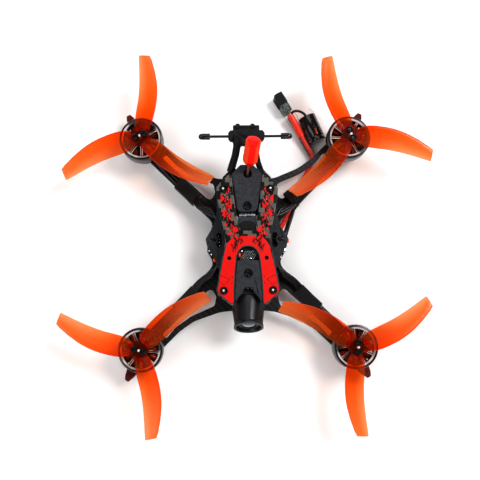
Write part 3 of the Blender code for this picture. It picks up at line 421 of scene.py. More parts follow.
# One 3 mm carbon plate with four arms and a slim brace beside each. It is cut from sheet, so its
# faces show a fine dull twill and its sawn edges show the stacked plies.

def twill(tree, place, tow):
    """A 2/2 twill: (1 where the lengthwise tow is on top, a relief, a random number for each crossing)."""
    axes = add_node(tree, "SeparateXYZ", {0: place}).outputs
    cells, waves = [], []
    for axis in (0, 1):
        scaled = add_node(tree, "Math", {0: axes[axis], 1: tow}, operation="DIVIDE").outputs[0]
        cells.append(add_node(tree, "Math", {0: scaled}, operation="FLOOR").outputs[0])
        wave = add_node(tree, "Math", {0: scaled, 1: 0.5}, operation="PINGPONG").outputs[0]
        waves.append(levels(tree, wave, 0.0, 0.2))
    total = add_node(tree, "Math", {0: cells[0], 1: cells[1]}, operation="ADD").outputs[0]
    step = add_node(tree, "Math", {0: total, 1: 4.0}, operation="FLOORED_MODULO").outputs[0]
    over = add_node(tree, "Math", {0: step, 1: 1.5}, operation="LESS_THAN").outputs[0]
    relief = add_node(tree, "Mix", {0: over, 2: waves[1], 3: waves[0]}).outputs[0]
    cell = add_node(tree, "CombineXYZ", {0: cells[0], 1: cells[1]}).outputs[0]
    chance = add_node(tree, "TexWhiteNoise", {0: cell}).outputs[0]
    return over, relief, chance


def facing(tree, axis, low, high):
    """How far a face looks along an axis, either way, between two limits."""
    normal = add_node(tree, "SeparateXYZ",
                      {0: add_node(tree, "NewGeometry").outputs["Normal"]}).outputs[axis]
    return levels(tree, add_node(tree, "Math", {0: normal}, operation="ABSOLUTE").outputs[0], low, high)


def carbon(name, tow, light, dark, edge, roughness):
    """Carbon sheet: twill faces under a thin resin coat, the lengthwise tows painted lighter as their
    sheen, and plied edges.
    """
    made, tree, shader = material(name, roughness, Coat_Weight=0.08, Coat_Roughness=0.2)
    place = in_mm(tree)
    over, relief, chance = twill(tree, place, tow)
    fibres = between(tree, over, noise(tree, in_mm(tree, (1, 12, 1)), 0.9),
                     noise(tree, in_mm(tree, (12, 1, 1)), 0.9))
    # the lengthwise tows are painted lighter, by a random amount at each crossing: painted sheen
    tow_sheen_share = add_node(tree, "Math", {0: over, 1: levels(tree, chance, 0, 1, 0.75, 1.1)},
                     operation="MULTIPLY").outputs[0]
    faces = between(tree, tow_sheen_share, dark, light)
    faces = between(tree, levels(tree, fibres, 0.35, 0.7, 0.0, 0.35), faces, dark)
    flat = facing(tree, 2, 0.6, 0.8)
    height = add_node(tree, "SeparateXYZ", {0: place}).outputs[2]
    plies = add_node(tree, "Math", {0: height, 1: 0.13}, operation="PINGPONG").outputs[0]
    sawn = between(tree, levels(tree, plies, 0.03, 0.1), edge, dark)
    finish(tree, shader, between(tree, flat, sawn, faces),
           levels(tree, noise(tree, place, 5), 0.3, 0.7, roughness - 0.06, roughness + 0.1), relief, 0.02)
    return made


def dress(node, finish_with, edge=0.2):
    """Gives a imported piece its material, and rounds its edges by some tenths of a millimetre."""
    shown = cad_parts[node]
    for slot in shown.material_slots:
        slot.material = finish_with
    weld = shown.modifiers.new("weld", "WELD")
    weld.merge_threshold = 2e-6
    round_over = shown.modifiers.new("edges", "BEVEL")
    round_over.width, round_over.segments, round_over.use_clamp_overlap = edge * MM, 2, False
    round_over.limit_method, round_over.angle_limit = "ANGLE", math.radians(32)
    shown.modifiers.new("shading", "WEIGHTED_NORMAL")
    return shown


# the lighter colour is the painted sheen of the lengthwise tows
frame_carbon = carbon("main plate's matt carbon twill", 1.0, "#232327", "#0c0c0e", "#2a2a2e", 0.42)
dress("main_frame", frame_carbon, 0.22)

# moulded rubber: matt, with slanting ribs
rubber, tree, shader = material("ribbed battery pad rubber", 0.8, Specular_IOR_Level=0.3)
place = in_mm(tree)
axes = add_node(tree, "SeparateXYZ", {0: place}).outputs
diagonal = add_node(tree, "Math", {0: axes[0], 1: axes[1]}, operation="ADD").outputs[0]
ribs = add_node(tree, "Math", {0: diagonal, 1: 0.9}, operation="PINGPONG").outputs[0]
finish(tree, shader, between(tree, noise(tree, place, 1.2), "#0e0e0f", "#1b1b1d"), None,
       levels(tree, ribs, 0.2, 0.6), 0.25)
dress("battery_pad", rubber, 0.3)


# ---------------------------------------------------------------- screws

# Black steel button heads with a hexagon socket: two hold each propeller, four the top plate, one
# each cover, and more hold the motors, the feet and the board stack from below.

# near-black metal with soft highlights
black_steel, tree, shader = material("black oxide steel", 0.28, 0.75, Coat_Weight=0.3, Coat_Roughness=0.15)
place = in_mm(tree)
finish(tree, shader, between(tree, noise(tree, place, 0.6), "#0d0e10", "#26282b"),
       levels(tree, noise(tree, place, 0.25), 0.3, 0.7, 0.2, 0.4))

# pale steel painted near white as a glint: a disc in each deck screw's socket, and the shaft ends
glint_white_steel, tree, shader = material("pale steel painted as a glint", 0.4, 0.2)
finish(tree, shader, between(tree, noise(tree, in_mm(tree), 0.5), "#cfd0d0", "#f4f4f4"))


def screw_mesh(name, radius, height, shank, shank_radius=0.8):
    """Button-head screw with its head on height zero, in millimetres."""
    count = 24
    bm = bmesh.new()
    socket = 0.46 * radius

    def hexagon(scale, level):
        points = []
        for index in range(count):
            angle = 2 * math.pi * index / count
            inside = (angle + math.pi / 6) % (math.pi / 3) - math.pi / 6
            reach = scale / math.cos(inside)
            points.append(Vector((reach * math.cos(angle), reach * math.sin(angle), level)) * MM)
        return points

    dome = [ring(radius * math.cos(a), height * (0.12 + 0.88 * math.sin(a)), count)
            for a in (0.05, 0.25, 0.5, 0.75, 0.95)]
    rings = [ring(shank_radius, -shank, count), ring(shank_radius, 0, count),
             ring(radius * 0.98, 0, count)] + dome
    rings += [hexagon(socket * 1.06, height), hexagon(socket, height * 0.93), hexagon(socket, height * 0.3)]
    loft(bm, rings)
    return mesh_from(bm, black_steel, name, 28)


def place_screw(name, mesh, at, body="airframe", replaces=(), turn=0.0, up=True):
    matrix = Matrix.Translation(Vector(at)) @ Matrix.Rotation(turn, 4, "Z")
    if not up:
        matrix = matrix @ Matrix.Rotation(math.pi, 4, "X")
    return outcome(mesh, None, name, body, matrix, replaces=replaces)


def under_top(node, depth):
    """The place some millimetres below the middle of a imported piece's top."""
    low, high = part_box(node)
    return Vector(((low.x + high.x) / 2, (low.y + high.y) / 2, high.z - depth * MM))


corner_labels = ("rear_left", "rear_right", "front_left", "front_right")
deck_head, cover_head, prop_head = 1.4, 0.9, 1.3             # heights of the three kinds of head
deck_screw = screw_mesh("deck_screw", 2.15, deck_head, 6.0)
cover_screw = screw_mesh("cover_screw", 1.9, cover_head, 2.4)
small_screw = screw_mesh("small_screw", 1.9, 1.0, 3.5, 0.95)
bm = bmesh.new()
for label in corner_labels:
    at = under_top("deck_bolt_" + label, deck_head)
    place_screw("deck_screw_" + label, deck_screw, at, replaces=("deck_bolt_" + label,), turn=at.x * 400)
    # a disc on the floor of the socket, a little off the middle, painted pale as its glint
    lathe(bm, ((0.6, 29.9), (0.6, 30.6), (0.45, 30.75), (0.05, 30.8)), 16,
          (at.x / MM - 0.15, at.y / MM + 0.1))
outcome(bm, glint_white_steel, "deck_screw_socket_glints", "airframe")
for label in ("front", "rear"):
    at = under_top("cover_screw_" + label, cover_head)
    place_screw("cover_button_" + label, cover_screw, at, replaces=("cover_screw_" + label,), turn=0.3)

# anodised and turned: dark satin with rings round each post
spacer_metal, tree, shader = material("black anodised aluminium", 0.32, 0.9)
place = in_mm(tree)
finish(tree, shader, between(tree, noise(tree, place, 1.5), "#131416", "#202226"),
       levels(tree, noise(tree, in_mm(tree, (1, 1, 14)), 0.5), 0.3, 0.7, 0.26, 0.42))
for label in corner_labels:
    dress("standoff_" + label, spacer_metal, 0.15)
    at = under_top("standoff_" + label, 0)
    at.z = 1.4 * MM
    place_screw("bottom_screw_" + label, small_screw, at, up=False)


# ---------------------------------------------------------------- landing feet

# Dark red printed feet under the motors. Each clips round the arm's end with an upright fin, and
# shows the fine layers it was printed in.

def printed(name, dark, light, layer=0.28, roughness=0.62):
    """Printed flexible plastic: matt, with flat layers stacked along Z and slightly uneven walls."""
    made, tree, shader = material(name, roughness, Specular_IOR_Level=0.18)
    place = in_mm(tree)
    height = add_node(tree, "SeparateXYZ", {0: place}).outputs[2]
    sag = levels(tree, noise(tree, place, 6), 0, 1, 0, 0.25)
    wavy = add_node(tree, "Math", {0: height, 1: sag}, operation="ADD").outputs[0]
    layers = add_node(tree, "Math", {0: wavy, 1: layer / 2}, operation="PINGPONG").outputs[0]
    layers = levels(tree, layers, 0, layer / 2)
    flat = facing(tree, 2, 0.7, 0.9)
    # flat tops show diagonal lines where the nozzle filled them in
    axes = add_node(tree, "SeparateXYZ", {0: place}).outputs
    diagonal = add_node(tree, "Math", {0: axes[0], 1: axes[1]}, operation="ADD").outputs[0]
    filled = add_node(tree, "Math", {0: diagonal, 1: 0.3}, operation="PINGPONG").outputs[0]
    filled = levels(tree, filled, 0, 0.3)
    relief = add_node(tree, "Mix", {0: flat, 2: layers, 3: filled}).outputs[0]
    grains = noise(tree, place, 0.5, 6)
    relief = add_node(tree, "Math", {0: relief, 1: grains}, operation="ADD").outputs[0]
    finish(tree, shader, between(tree, levels(tree, noise(tree, place, 1.6, 6), 0.3, 0.7), dark, light),
           levels(tree, grains, 0.3, 0.7, roughness - 0.08, roughness + 0.12), relief, 0.03)
    return made


red_print = printed("dark red printed TPU", "#45100c", "#6a1f18")
foot_screw = screw_mesh("foot_screw", 1.7, 0.9, 1.5)
# each corner's side and end, its first blade's angle in degrees, and the way its propeller turns
corners = {"rear_left": (-1, 1, 202.5, 1), "rear_right": (1, 1, 109.2, -1),
           "front_left": (-1, -1, 162.4, -1), "front_right": (1, -1, 266.6, 1)}
motor_offset, foot_screw_reach = 58.7, 5.7
centres = {label: Vector((side, end, 0)) * motor_offset for label, (side, end, _, _) in corners.items()}
for label, centre in centres.items():
    dress("landing_foot_" + label, red_print, 0.35)
    for quarter in range(4):
        angle = math.pi / 4 + quarter * math.pi / 2
        at = (centre + Vector((foot_screw_reach * math.cos(angle), foot_screw_reach * math.sin(angle),
                               -1.25))) * MM
        place_screw(f"foot_screw_{label}_{quarter}", foot_screw, at, up=False)


# ---------------------------------------------------------------- motors

# Brushless outrunners. The base and its bearing tube are fixed to the arm. Twelve copper coils
# sit round it, and over them turns the bell: a black ring with a polished inner chamfer, nine
# thin spokes with bright edges, magnets inside, and a boss that the propeller bolts to. The
# chamfer and the spokes' edges carry painted highlights.

dark_alloy, tree, shader = material("grey anodised motor base", 0.35, 0.85)
place = in_mm(tree)
finish(tree, shader, between(tree, noise(tree, place, 1.2), "#2a2b2e", "#3e4044"),
       levels(tree, noise(tree, place, 0.4), 0.3, 0.7, 0.28, 0.45))

bell_black, tree, shader = material("black anodised bell", 0.24, 0.85, Coat_Weight=0.25,
                                    Coat_Roughness=0.12)
place = in_mm(tree)
finish(tree, shader, between(tree, noise(tree, place, 1.0), "#17181b", "#2c2e33"),
       levels(tree, noise(tree, in_mm(tree, (1, 1, 20)), 0.6), 0.3, 0.7, 0.2, 0.34))

# turned bright metal on the chamfer and the spokes' edges, with soft white patches of painted highlight
# round it
polished, tree, shader = material("diamond-cut aluminium with painted highlights", 0.28, 0.35)
place = in_mm(tree)
painted_glare_patches = levels(tree, noise(tree, place, 9.0, 1), 0.4, 0.52)
finish(tree, shader,
       between(tree, painted_glare_patches, between(tree, noise(tree, place, 0.2), "#4c4f54", "#74777c"), "#ffffff"))

laminations, tree, shader = material("lacquered stator steel", 0.4, 0.6)
height = add_node(tree, "SeparateXYZ", {0: in_mm(tree)}).outputs[2]
sheets = levels(tree, add_node(tree, "Math", {0: height, 1: 0.1}, operation="PINGPONG").outputs[0], 0, 0.1)
finish(tree, shader, between(tree, sheets, "#0f0f10", "#2a2b2d"), None, sheets, 0.03)

copper, tree, shader = material("enamelled copper wire", 0.26, 0.9, Coat_Weight=0.5, Coat_Roughness=0.12)
place = in_mm(tree)
finish(tree, shader, between(tree, noise(tree, place, 0.7), "#7e3411", "#e07a31"),
       levels(tree, noise(tree, place, 0.4), 0.3, 0.7, 0.2, 0.36))

magnet, tree, shader = material("nickel-plated magnet", 0.3, 0.9)
finish(tree, shader, between(tree, noise(tree, in_mm(tree), 0.8), "#6a6c6e", "#97999b"))

# base: fixed disc with the bearing tube and the four screw ends
bm = bmesh.new()
lathe(bm, ((3.2, 4.85), (9.2, 4.85), (9.55, 5.15), (9.55, 6.05), (9.3, 6.3), (3.2, 6.3)))
lathe(bm, ((3.0, 6.2), (3.0, 12.8), (2.7, 13.15), (1.7, 13.15)), 32)
for quarter in range(4):
    angle = math.pi / 4 + quarter * math.pi / 2
    lathe(bm, ((1.6, 6.2), (1.6, 6.55), (1.1, 6.7), (1.1, 6.45)), 20,
          (foot_screw_reach * math.cos(angle), foot_screw_reach * math.sin(angle)))
base_mesh = mesh_from(bm, dark_alloy, "motor_base")

# stator: twelve T-shaped teeth, each with turns of copper wire whose ends loop over the top
bm = bmesh.new()
for tooth in range(12):
    turn = Matrix.Rotation(2 * math.pi * tooth / 12, 4, "Z")
    side = ((5.0, 8.4), (9.4, 8.4), (9.4, 12.1), (5.0, 12.1))
    bar = [[turn @ (Vector((x, y, z)) * MM) for x, z in side] for y in (-0.6, 0.6)]
    loft(bm, bar)
    tip = []
    for level in (8.2, 12.3):
        points = [Vector((radius * math.cos(a), radius * math.sin(a), level)) * MM
                  for radius, angles in ((10.2, (-0.21, -0.1, 0, 0.1, 0.21)),
                                         (9.4, (0.2, 0.08, -0.08, -0.2))) for a in angles]
        tip.append([turn @ point for point in points])
    loft(bm, tip)
    rings = []
    for step in range(21):
        radius = 5.5 + 3.7 * step / 20
        swell = 0.16 * abs(math.sin(math.pi * step / 2))
        wide, high = min(1.05 + 0.14 * (radius - 5.5), 1.5) + swell - 0.1, 2.35 + swell
        section = [Vector((radius, wide * c, 10.25 + high * s)) for c, s in
                   ((1, -0.75), (1, 0.75), (0.72, 0.96), (0, 1.04), (-0.72, 0.96),
                    (-1, 0.75), (-1, -0.75), (-0.72, -0.96), (0, -1.04), (0.72, -0.96))]
        rings.append([turn @ (point * MM) for point in section])
    loft(bm, rings, material_index=1)
lathe(bm, ((3.35, 8.3), (5.4, 8.3), (5.4, 12.2), (3.35, 12.2)), 36)
stator_mesh = mesh_from(bm, [laminations, copper], "stator", 40)

# bell: the ring with its polished chamfer, spokes, boss, shaft and magnets
polished_step = 11
bm = bmesh.new()
profile = ((10.9, 6.85), (11.95, 6.8), (12.2, 7.05), (12.2, 9.4), (12.05, 9.5), (12.05, 9.75), (12.2, 9.85),
           (12.2, 15.2),
           (11.9, 15.8), (11.5, 15.95), (11.0, 15.95), (10.9, 15.8), (9.9, 15.3), (9.75, 15.1),
           (9.75, 13.75), (10.9, 13.65))
for index, (low, high) in enumerate(zip(profile, profile[1:] + profile[:1])):
    loft(bm, [ring(*low, 64), ring(*high, 64)], caps=(False, False),
         material_index=int(index == polished_step))
for spoke in range(9):
    turn = Matrix.Rotation(2 * math.pi * spoke / 9, 4, "Z")
    section = ((-0.6, 13.7), (0.6, 13.7), (0.6, 14.85), (0.28, 15.18), (-0.28, 15.18), (-0.6, 14.85))
    loops = [[bm.verts.new(turn @ (Vector((radius, y * flare, z)) * MM)) for y, z in section]
             for radius, flare in ((3.9, 1.5), (5.2, 1.05), (8.8, 1.0), (10.1, 1.5))]
    for lower, upper in zip(loops, loops[1:]):
        for index in range(6):
            after = (index + 1) % 6
            face = bm.faces.new((lower[index], lower[after], upper[after], upper[index]))
            face.material_index = 1 if index in (2, 4) else 0
lathe(bm, ((4.2, 13.4), (4.2, 17.75), (3.85, 18.1), (2.1, 18.1)), 40)
lathe(bm, ((1.0, 5.3), (1.0, 13.5)), 20, material_index=1)
for index in range(14):
    turn = Matrix.Rotation(2 * math.pi * (index + 0.5) / 14, 4, "Z")
    block = [[turn @ (Vector((radius * math.cos(a), radius * math.sin(a), level)) * MM)
              for radius, angles in ((10.88, (-0.19, 0, 0.19)), (10.42, (0.19, 0, -0.19))) for a in angles]
             for level in (7.6, 12.9)]
    loft(bm, block, material_index=2)
bell_mesh = mesh_from(bm, [bell_black, polished, magnet], "bell", 30)

for label, centre in centres.items():
    at = Matrix.Translation(centre * MM)
    spun = at @ Matrix.Rotation(math.radians(corners[label][2] - 90), 4, "Z")
    outcome(base_mesh, None, "motor_foot_" + label, "airframe", at,
            replaces=("motor_base_" + label,))
    outcome(stator_mesh, None, "windings_" + label, "airframe", at,
            replaces=("stator_" + label,))
    outcome(bell_mesh, None, "rotor_" + label, "rotor_" + label, spun,
            replaces=("bell_" + label,))


# ---------------------------------------------------------------- propellers

# Three swept blades moulded in one piece with a rounded triangular hub, in clear orange
# polycarbonate: deep where the plastic is thick, pale along the thin trailing edges and tips.

orange = bpy.data.materials.new("clear orange polycarbonate")
orange.use_nodes = True
tree = orange.node_tree
tree.nodes.clear()
place = in_mm(tree)
chord = add_node(tree, "Attribute", attribute_name="chord").outputs["Fac"]
span = add_node(tree, "Attribute", attribute_name="span").outputs["Fac"]
ramp = add_node(tree, "ValToRGB", {0: chord})
ramp.color_ramp.elements[0].position, ramp.color_ramp.elements[0].color = 0.0, linear("#ffa468")
ramp.color_ramp.elements[1].position, ramp.color_ramp.elements[1].color = 1.0, linear("#ff5a1c")
for spot, code in ((0.14, "#ff924a"), (0.4, "#ff7826"), (0.75, "#ff6816"), (0.93, "#f8540c"),
                   (0.965, "#d82c00")):
    ramp.color_ramp.elements.new(spot).color = linear(code)
blade_colour = between(tree, levels(tree, span, 0.3, 1.0, 0.0, 0.7), ramp.outputs[0], "#ff9a5a")
solid_colour = between(tree, levels(tree, span, 0.0, 0.1, 1.0, 0.0), blade_colour, "#a8421c")
plastic = add_node(tree, "BsdfPrincipled",
                   {"Base Color": solid_colour, "Roughness": 0.2, "Specular IOR Level": 0.7})
glow = add_node(tree, "BsdfTranslucent", {0: solid_colour})
solid = add_node(tree, "MixShader", {0: 0.5, 1: plastic.outputs[0], 2: glow.outputs[0]})
# light passes two walls of each blade, and takes on more colour where the plastic is thicker
thick_tint = between(tree, levels(tree, span, 0.2, 1.0), "#ff8c34", "#ffb47a")
pale = add_node(tree, "Math",
                {0: levels(tree, chord, 0.0, 0.55, 1.0, 0.0), 1: levels(tree, span, 0.3, 0.95, 0.15, 1.0)},
                operation="MULTIPLY").outputs[0]
tint = between(tree, pale, thick_tint, "#ffe2cd")
shadow = add_node(tree, "LightPath").outputs["Is Shadow Ray"]
see_through = add_node(tree, "BsdfTransparent", {0: between(tree, shadow, tint, "#f8dccd")})
ripple = add_node(tree, "Bump", {"Height": noise(tree, place, 2.5, 2), "Distance": 0.03 * MM})
tree.links.new(ripple.outputs[0], plastic.inputs["Normal"])
thin_share = levels(tree, span, 0.4, 1.0, 0.86, 0.45)
edge_share = levels(tree, chord, 0.93, 0.99, 1.0, 0.75)
clear_share = add_node(tree, "Math", {0: thin_share, 1: edge_share}, operation="MULTIPLY").outputs[0]
whole = add_node(tree, "MixShader", {0: clear_share, 1: solid.outputs[0], 2: see_through.outputs[0]})
add_node(tree, "OutputMaterial", {0: whole.outputs[0]})

# radius, sideways place of the middle, chord, pitch in degrees and thickness, hub to tip
stations = ((4.0, 0.6, 8.4, 26, 2.4), (8.0, 0.8, 11.6, 28, 1.9), (14.0, 1.15, 12.6, 27, 1.5),
            (22.0, 1.35, 12.2, 24, 1.3),
            (30.0, 0.6, 11.2, 20, 1.1), (38.0, -1.1, 9.5, 16, 0.9), (44.0, -2.8, 7.8, 13, 0.8),
            (46.6, -3.7, 6.6, 12, 0.6))


def station_at(radius):
    """A blade's measures at a radius, read smoothly between the stations."""
    index = max(at for at in range(len(stations) - 1) if stations[at][0] <= radius + 1e-6)
    picks = [stations[min(max(at, 0), len(stations) - 1)][1:] for at in range(index - 1, index + 3)]
    t = (radius - stations[index][0]) / (stations[index + 1][0] - stations[index][0])
    return [0.5 * (2 * q + (r - p) * t + (2 * p - 5 * q + 4 * r - s) * t * t
                   + (3 * q - p - 3 * r + s) * t ** 3)
            for p, q, r, s in zip(*picks)]


def propeller_mesh(spin):
    bm = bmesh.new()
    chord_layer = bm.verts.layers.float.new("chord")
    span_layer = bm.verts.layers.float.new("span")
    count = 22
    for blade in range(3):
        turn = Matrix.Rotation(2 * math.pi * blade / 3, 4, "Z")
        loops = []
        radii = [4.0 + 42.6 * (step / 34) for step in range(34)] + [46.1, 46.45, 46.6]
        for radius in radii:
            sideways, wide, pitch, thick = station_at(min(radius, 46.6))
            if radius > 46.0:                                 # rounded corners of the squared tip
                wide -= 1.1 * (radius - 46.0) ** 2
                thick *= 1 - 0.5 * (radius - 46.0)
            lift = 0.09 if 13.6 < radius < 14.9 else 0.0      # moulded step where the root pad ends
            angle = math.radians(pitch)
            loop = []
            for index in range(count):
                a = 2 * math.pi * index / count
                along = 0.5 * math.cos(a)
                upper = math.sin(a) > 0
                half = (0.52 if upper else -0.42) * abs(math.sin(a)) ** 0.85
                across = half * (1 + 0.45 * math.cos(a)) * (thick + (lift if upper else 0)) / 1.1
                x, z = along * wide, across + 0.04 * wide * (1 - 4 * along * along)
                at = Vector((sideways + x * math.cos(angle) - z * math.sin(angle), radius,
                             20.75 + x * math.sin(angle) + z * math.cos(angle)))
                vertex = bm.verts.new(turn @ (at * MM))
                vertex[chord_layer], vertex[span_layer] = along + 0.5, radius / 46.6
                loop.append(vertex)
            loops.append(loop)
        for lower, upper in zip(loops, loops[1:]):
            for index in range(count):
                after = (index + 1) % count
                bm.faces.new((lower[index], lower[after], upper[after], upper[index]))
        bm.faces.new(loops[-1])
    # hub: rounded triangle with a raised rim, three dimples and a shallow middle
    hub_count = 72

    def hub_ring(inset, level):
        points = []
        for index in range(hub_count):
            angle = 2 * math.pi * index / hub_count
            radius = 5.75 + 0.6 * math.cos(3 * (angle - math.pi / 2)) - inset
            points.append(Vector((radius * math.cos(angle), radius * math.sin(angle), level)) * MM)
        return points

    rim = ((0.5, 18.4), (0.0, 18.8), (0.0, 22.6), (0.15, 22.95), (0.35, 23.05), (0.6, 23.0), (0.75, 22.7))
    loops = loft(bm, [hub_ring(inset, level) for inset, level in rim]
                 + [ring(1.0, 22.7, hub_count), ring(0.9, 22.2, hub_count)])
    for blade in range(3):
        angle = math.pi / 2 + 2 * math.pi * blade / 3
        spot = (4.65 * math.cos(angle), 4.65 * math.sin(angle))
        loops += loft(bm, [ring(radius, level, 16, spot) for radius, level in
                           ((0.75, 22.65), (0.72, 22.85), (0.6, 22.9), (0.48, 22.82), (0.3, 22.5))])
    for loop in loops:
        for vertex in loop:
            vertex[chord_layer] = 0.8
    bmesh.ops.transform(bm, matrix=Matrix.Diagonal((spin, 1, 1, 1)), verts=bm.verts)
    return mesh_from(bm, orange, "propeller", 38)


propeller_meshes = {spin: propeller_mesh(spin) for spin in (-1, 1)}
prop_screw = screw_mesh("prop_screw", 1.9, prop_head, 6.5, 0.85)
# the shaft's end between the screws, painted pale as its glint
bm = bmesh.new()
lathe(bm, ((0.72, 17.9), (0.72, 22.95), (0.55, 23.12), (0.1, 23.15)), 20)
shaft_mesh = mesh_from(bm, glint_white_steel, "shaft")
for label, (side, end, blade_angle, spin) in corners.items():
    body = "rotor_" + label
    spun = Matrix.Translation(centres[label] * MM) @ Matrix.Rotation(math.radians(blade_angle - 90), 4, "Z")
    outcome(propeller_meshes[spin], None, "blades_" + label, body, spun,
            replaces=("propeller_" + label,))
    outcome(shaft_mesh, None, "shaft_" + label, body, spun)
    for letter in ("a", "b"):
        node = f"prop_screw_{letter}_{label}"
        place_screw(node + "_head", prop_screw, under_top(node, prop_head), body, replaces=(node,),
                    turn=0.4 if letter == "a" else 0.9)


# ---------------------------------------------------------------- motor wires

# Three thin silicone wires run along each arm from the motor. A woven black sleeve binds them to
# the arm, and inside it they fan out in glossy loops to the corner pads of the board.

glossy_black, tree, shader = material("glossy black wire jacket", 0.2, Coat_Weight=0.15,
                                      Coat_Roughness=0.08)
finish(tree, shader, between(tree, noise(tree, in_mm(tree), 2.0), "#040405", "#0b0c0e"), None,
       noise(tree, in_mm(tree), 0.8), 0.02)

braid, tree, shader = material("black woven sleeve", 0.8, Sheen_Weight=0.3, Sheen_Roughness=0.5)
place = in_mm(tree)
axes = add_node(tree, "SeparateXYZ", {0: place}).outputs
threads = []
for operation in ("ADD", "SUBTRACT"):
    lean = add_node(tree, "Math", {0: axes[0], 1: axes[1]}, operation=operation).outputs[0]
    threads.append(levels(tree, add_node(tree, "Math", {0: lean, 1: 0.35}, operation="PINGPONG").outputs[0],
                          0, 0.35))
weave = add_node(tree, "Math", {0: threads[0], 1: threads[1]}, operation="MAXIMUM").outputs[0]
finish(tree, shader, between(tree, weave, "#060607", "#141518"), None, weave, 0.08)

tie_nylon, tree, shader = material("black cable tie nylon", 0.35)
finish(tree, shader, between(tree, noise(tree, in_mm(tree), 1.2), "#0d0d0f", "#1b1c1f"), None,
       noise(tree, in_mm(tree), 0.4), 0.02)


def wrap(name, start, end, half_width, low, high, radius, finish_with):
    """A sleeve round an arm: a rounded box tube between two points, in millimetres."""
    bm = bmesh.new()
    start, end = Vector((*start, 0)), Vector((*end, 0))
    across = Vector((-(end - start).normalized().y, (end - start).normalized().x, 0))
    middle, half_height = (low + high) / 2, (high - low) / 2
    rings = []
    for share, grow in ((0, -0.25), (0, 0.0), (0.02, 0.12), (0.5, 0.0), (0.98, 0.12), (1, 0.0), (1, -0.25)):
        wide, tall = half_width + grow, half_height + grow
        section = []
        for corner, (sx, sz) in enumerate(((1, 1), (-1, 1), (-1, -1), (1, -1))):
            for step in range(5):
                angle = math.pi / 2 * (corner + step / 4)
                section.append((sx * (wide - radius) + radius * math.cos(angle),
                                sz * (tall - radius) + radius * math.sin(angle)))
        at = start.lerp(end, share)
        rings.append([(at + across * a + Vector((0, 0, middle + b))) * MM for a, b in section])
    loft(bm, rings)
    return outcome(bm, finish_with, name, "airframe")


for label, (side, end, _, _) in corners.items():
    reach = 2.0 if end < 0 else 0.0
    for number in (-1, 0, 1):
        shift = 1.75 * number
        spread = 1.0 if end > 0 else 0.8
        points = ((51.2 - 0.7 * shift, 50.2 + 0.7 * shift, 6.0),
                  (46.6 - 0.72 * shift, 45.2 + 0.7 * shift, 5.85),
                  (41.0 - 0.72 * shift, 39.0 + 0.7 * shift, 5.7),
                  (34.0 - 0.6 * shift, 31.9 + 0.6 * shift, 5.7),
                  (29.4 - 0.62 * shift + reach / 2, 26.9 + 0.62 * shift, 6.3),
                  (25.6 - 0.3 * shift + 1.2 * spread, 23.4 + 0.5 * shift - 1.7 * spread,
                   8.0 + 0.35 * number),
                  (21.6 + 0.2 * shift, 19.8 + 0.9 * shift - 1.6 * spread, 9.6 + 0.5 * number),
                  (18.2 + 0.5 * shift, 17.3 + 0.9 * shift - 1.0, 10.6 + 0.4 * number),
                  (13.6 + 0.9 * shift, 11.4 - 0.2 * shift, 12.2))
        points = [(side * x, end * y, z) for x, y, z in points]
        strand = wire(f"motor_wire_{label}_{number + 2}", smooth_route(points, 5), 0.86 * MM, glossy_black)
    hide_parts("motor_wiring_" + label)
    inner, outer = ((27.8, 25.0), (38.2, 35.4)) if end > 0 else ((28.7, 26.4), (39.6, 37.4))
    wrap("arm_sleeve_" + label, (side * inner[0], end * inner[1]), (side * outer[0], end * outer[1]),
         3.75, 1.1, 7.2, 1.0, braid)
# a cable tie round the right rear arm, with its square head on the outer side
wrap("cable_tie_band", (27.3, 24.6), (25.7, 23.0), 4.3, 0.9, 8.2, 1.2, tie_nylon)
bm = bmesh.new()
rounded_box(bm, (-1.9, -1.7, 6.6), (1.9, 1.7, 9.7), 0.5, edge=0.3)
rounded_box(bm, (-0.9, -4.6, 7.6), (0.9, -1.5, 8.5), 0.3, edge=0.15)
tie_at = Matrix.Translation(Vector((23.6, 27.6, 0)) * MM) @ Matrix.Rotation(0.72, 4, "Z")
outcome(bm, tie_nylon, "cable_tie_head", "airframe", tie_at)


# ---------------------------------------------------------------- flight controller

# All-in-one board turned by 45 degrees, on rubber grommets over four stack screws. Black solder
# mask with gold pads, chips, rows of tiny parts, two sockets and the wires' solder joints.

def circuit(name, mask_dark, mask_light, chip_level):
    """Solder mask with fine copper traces under it. Above a level, in millimetres, it is chip plastic."""
    made, tree, shader = material(name, 0.3, Coat_Weight=0.3, Coat_Roughness=0.15)
    place = in_mm(tree)
    cells = add_node(tree, "TexVoronoi", {"Vector": place, "Scale": 0.55},
                     feature="DISTANCE_TO_EDGE", distance="MANHATTAN").outputs[0]
    traces = levels(tree, cells, 0.10, 0.14, 1.0, 0.0)
    mask = between(tree, traces, mask_dark, mask_light)
    via = levels(tree, add_node(tree, "TexVoronoi", {"Vector": place, "Scale": 0.42}).outputs[0], 0.1, 0.16,
                 1.0, 0.0)
    mask = between(tree, via, mask, "#b08d46")
    height = add_node(tree, "SeparateXYZ", {0: place}).outputs[2]
    chip = levels(tree, height, chip_level, chip_level + 0.02)
    finish(tree, shader, between(tree, chip, mask, "#101012"),
           levels(tree, chip, 0, 1, 0.3, 0.55), cells, 0.03)
    return made


board_mask = circuit("black solder mask", "#0b0f0e", "#1d2623", 12.66)
dress("flight_controller", board_mask, 0.12)

chip_plastic, tree, shader = material("chip epoxy", 0.5)
finish(tree, shader, between(tree, noise(tree, in_mm(tree), 0.5, 5), "#0d0d0f", "#1c1d20"), None,
       noise(tree, in_mm(tree), 0.2, 5), 0.01)

solder, tree, shader = material("tinned solder", 0.2, 1.0)
finish(tree, shader, between(tree, noise(tree, in_mm(tree), 0.5), "#a8abad", "#f0f1f2"), None,
       noise(tree, in_mm(tree), 0.6), 0.1)

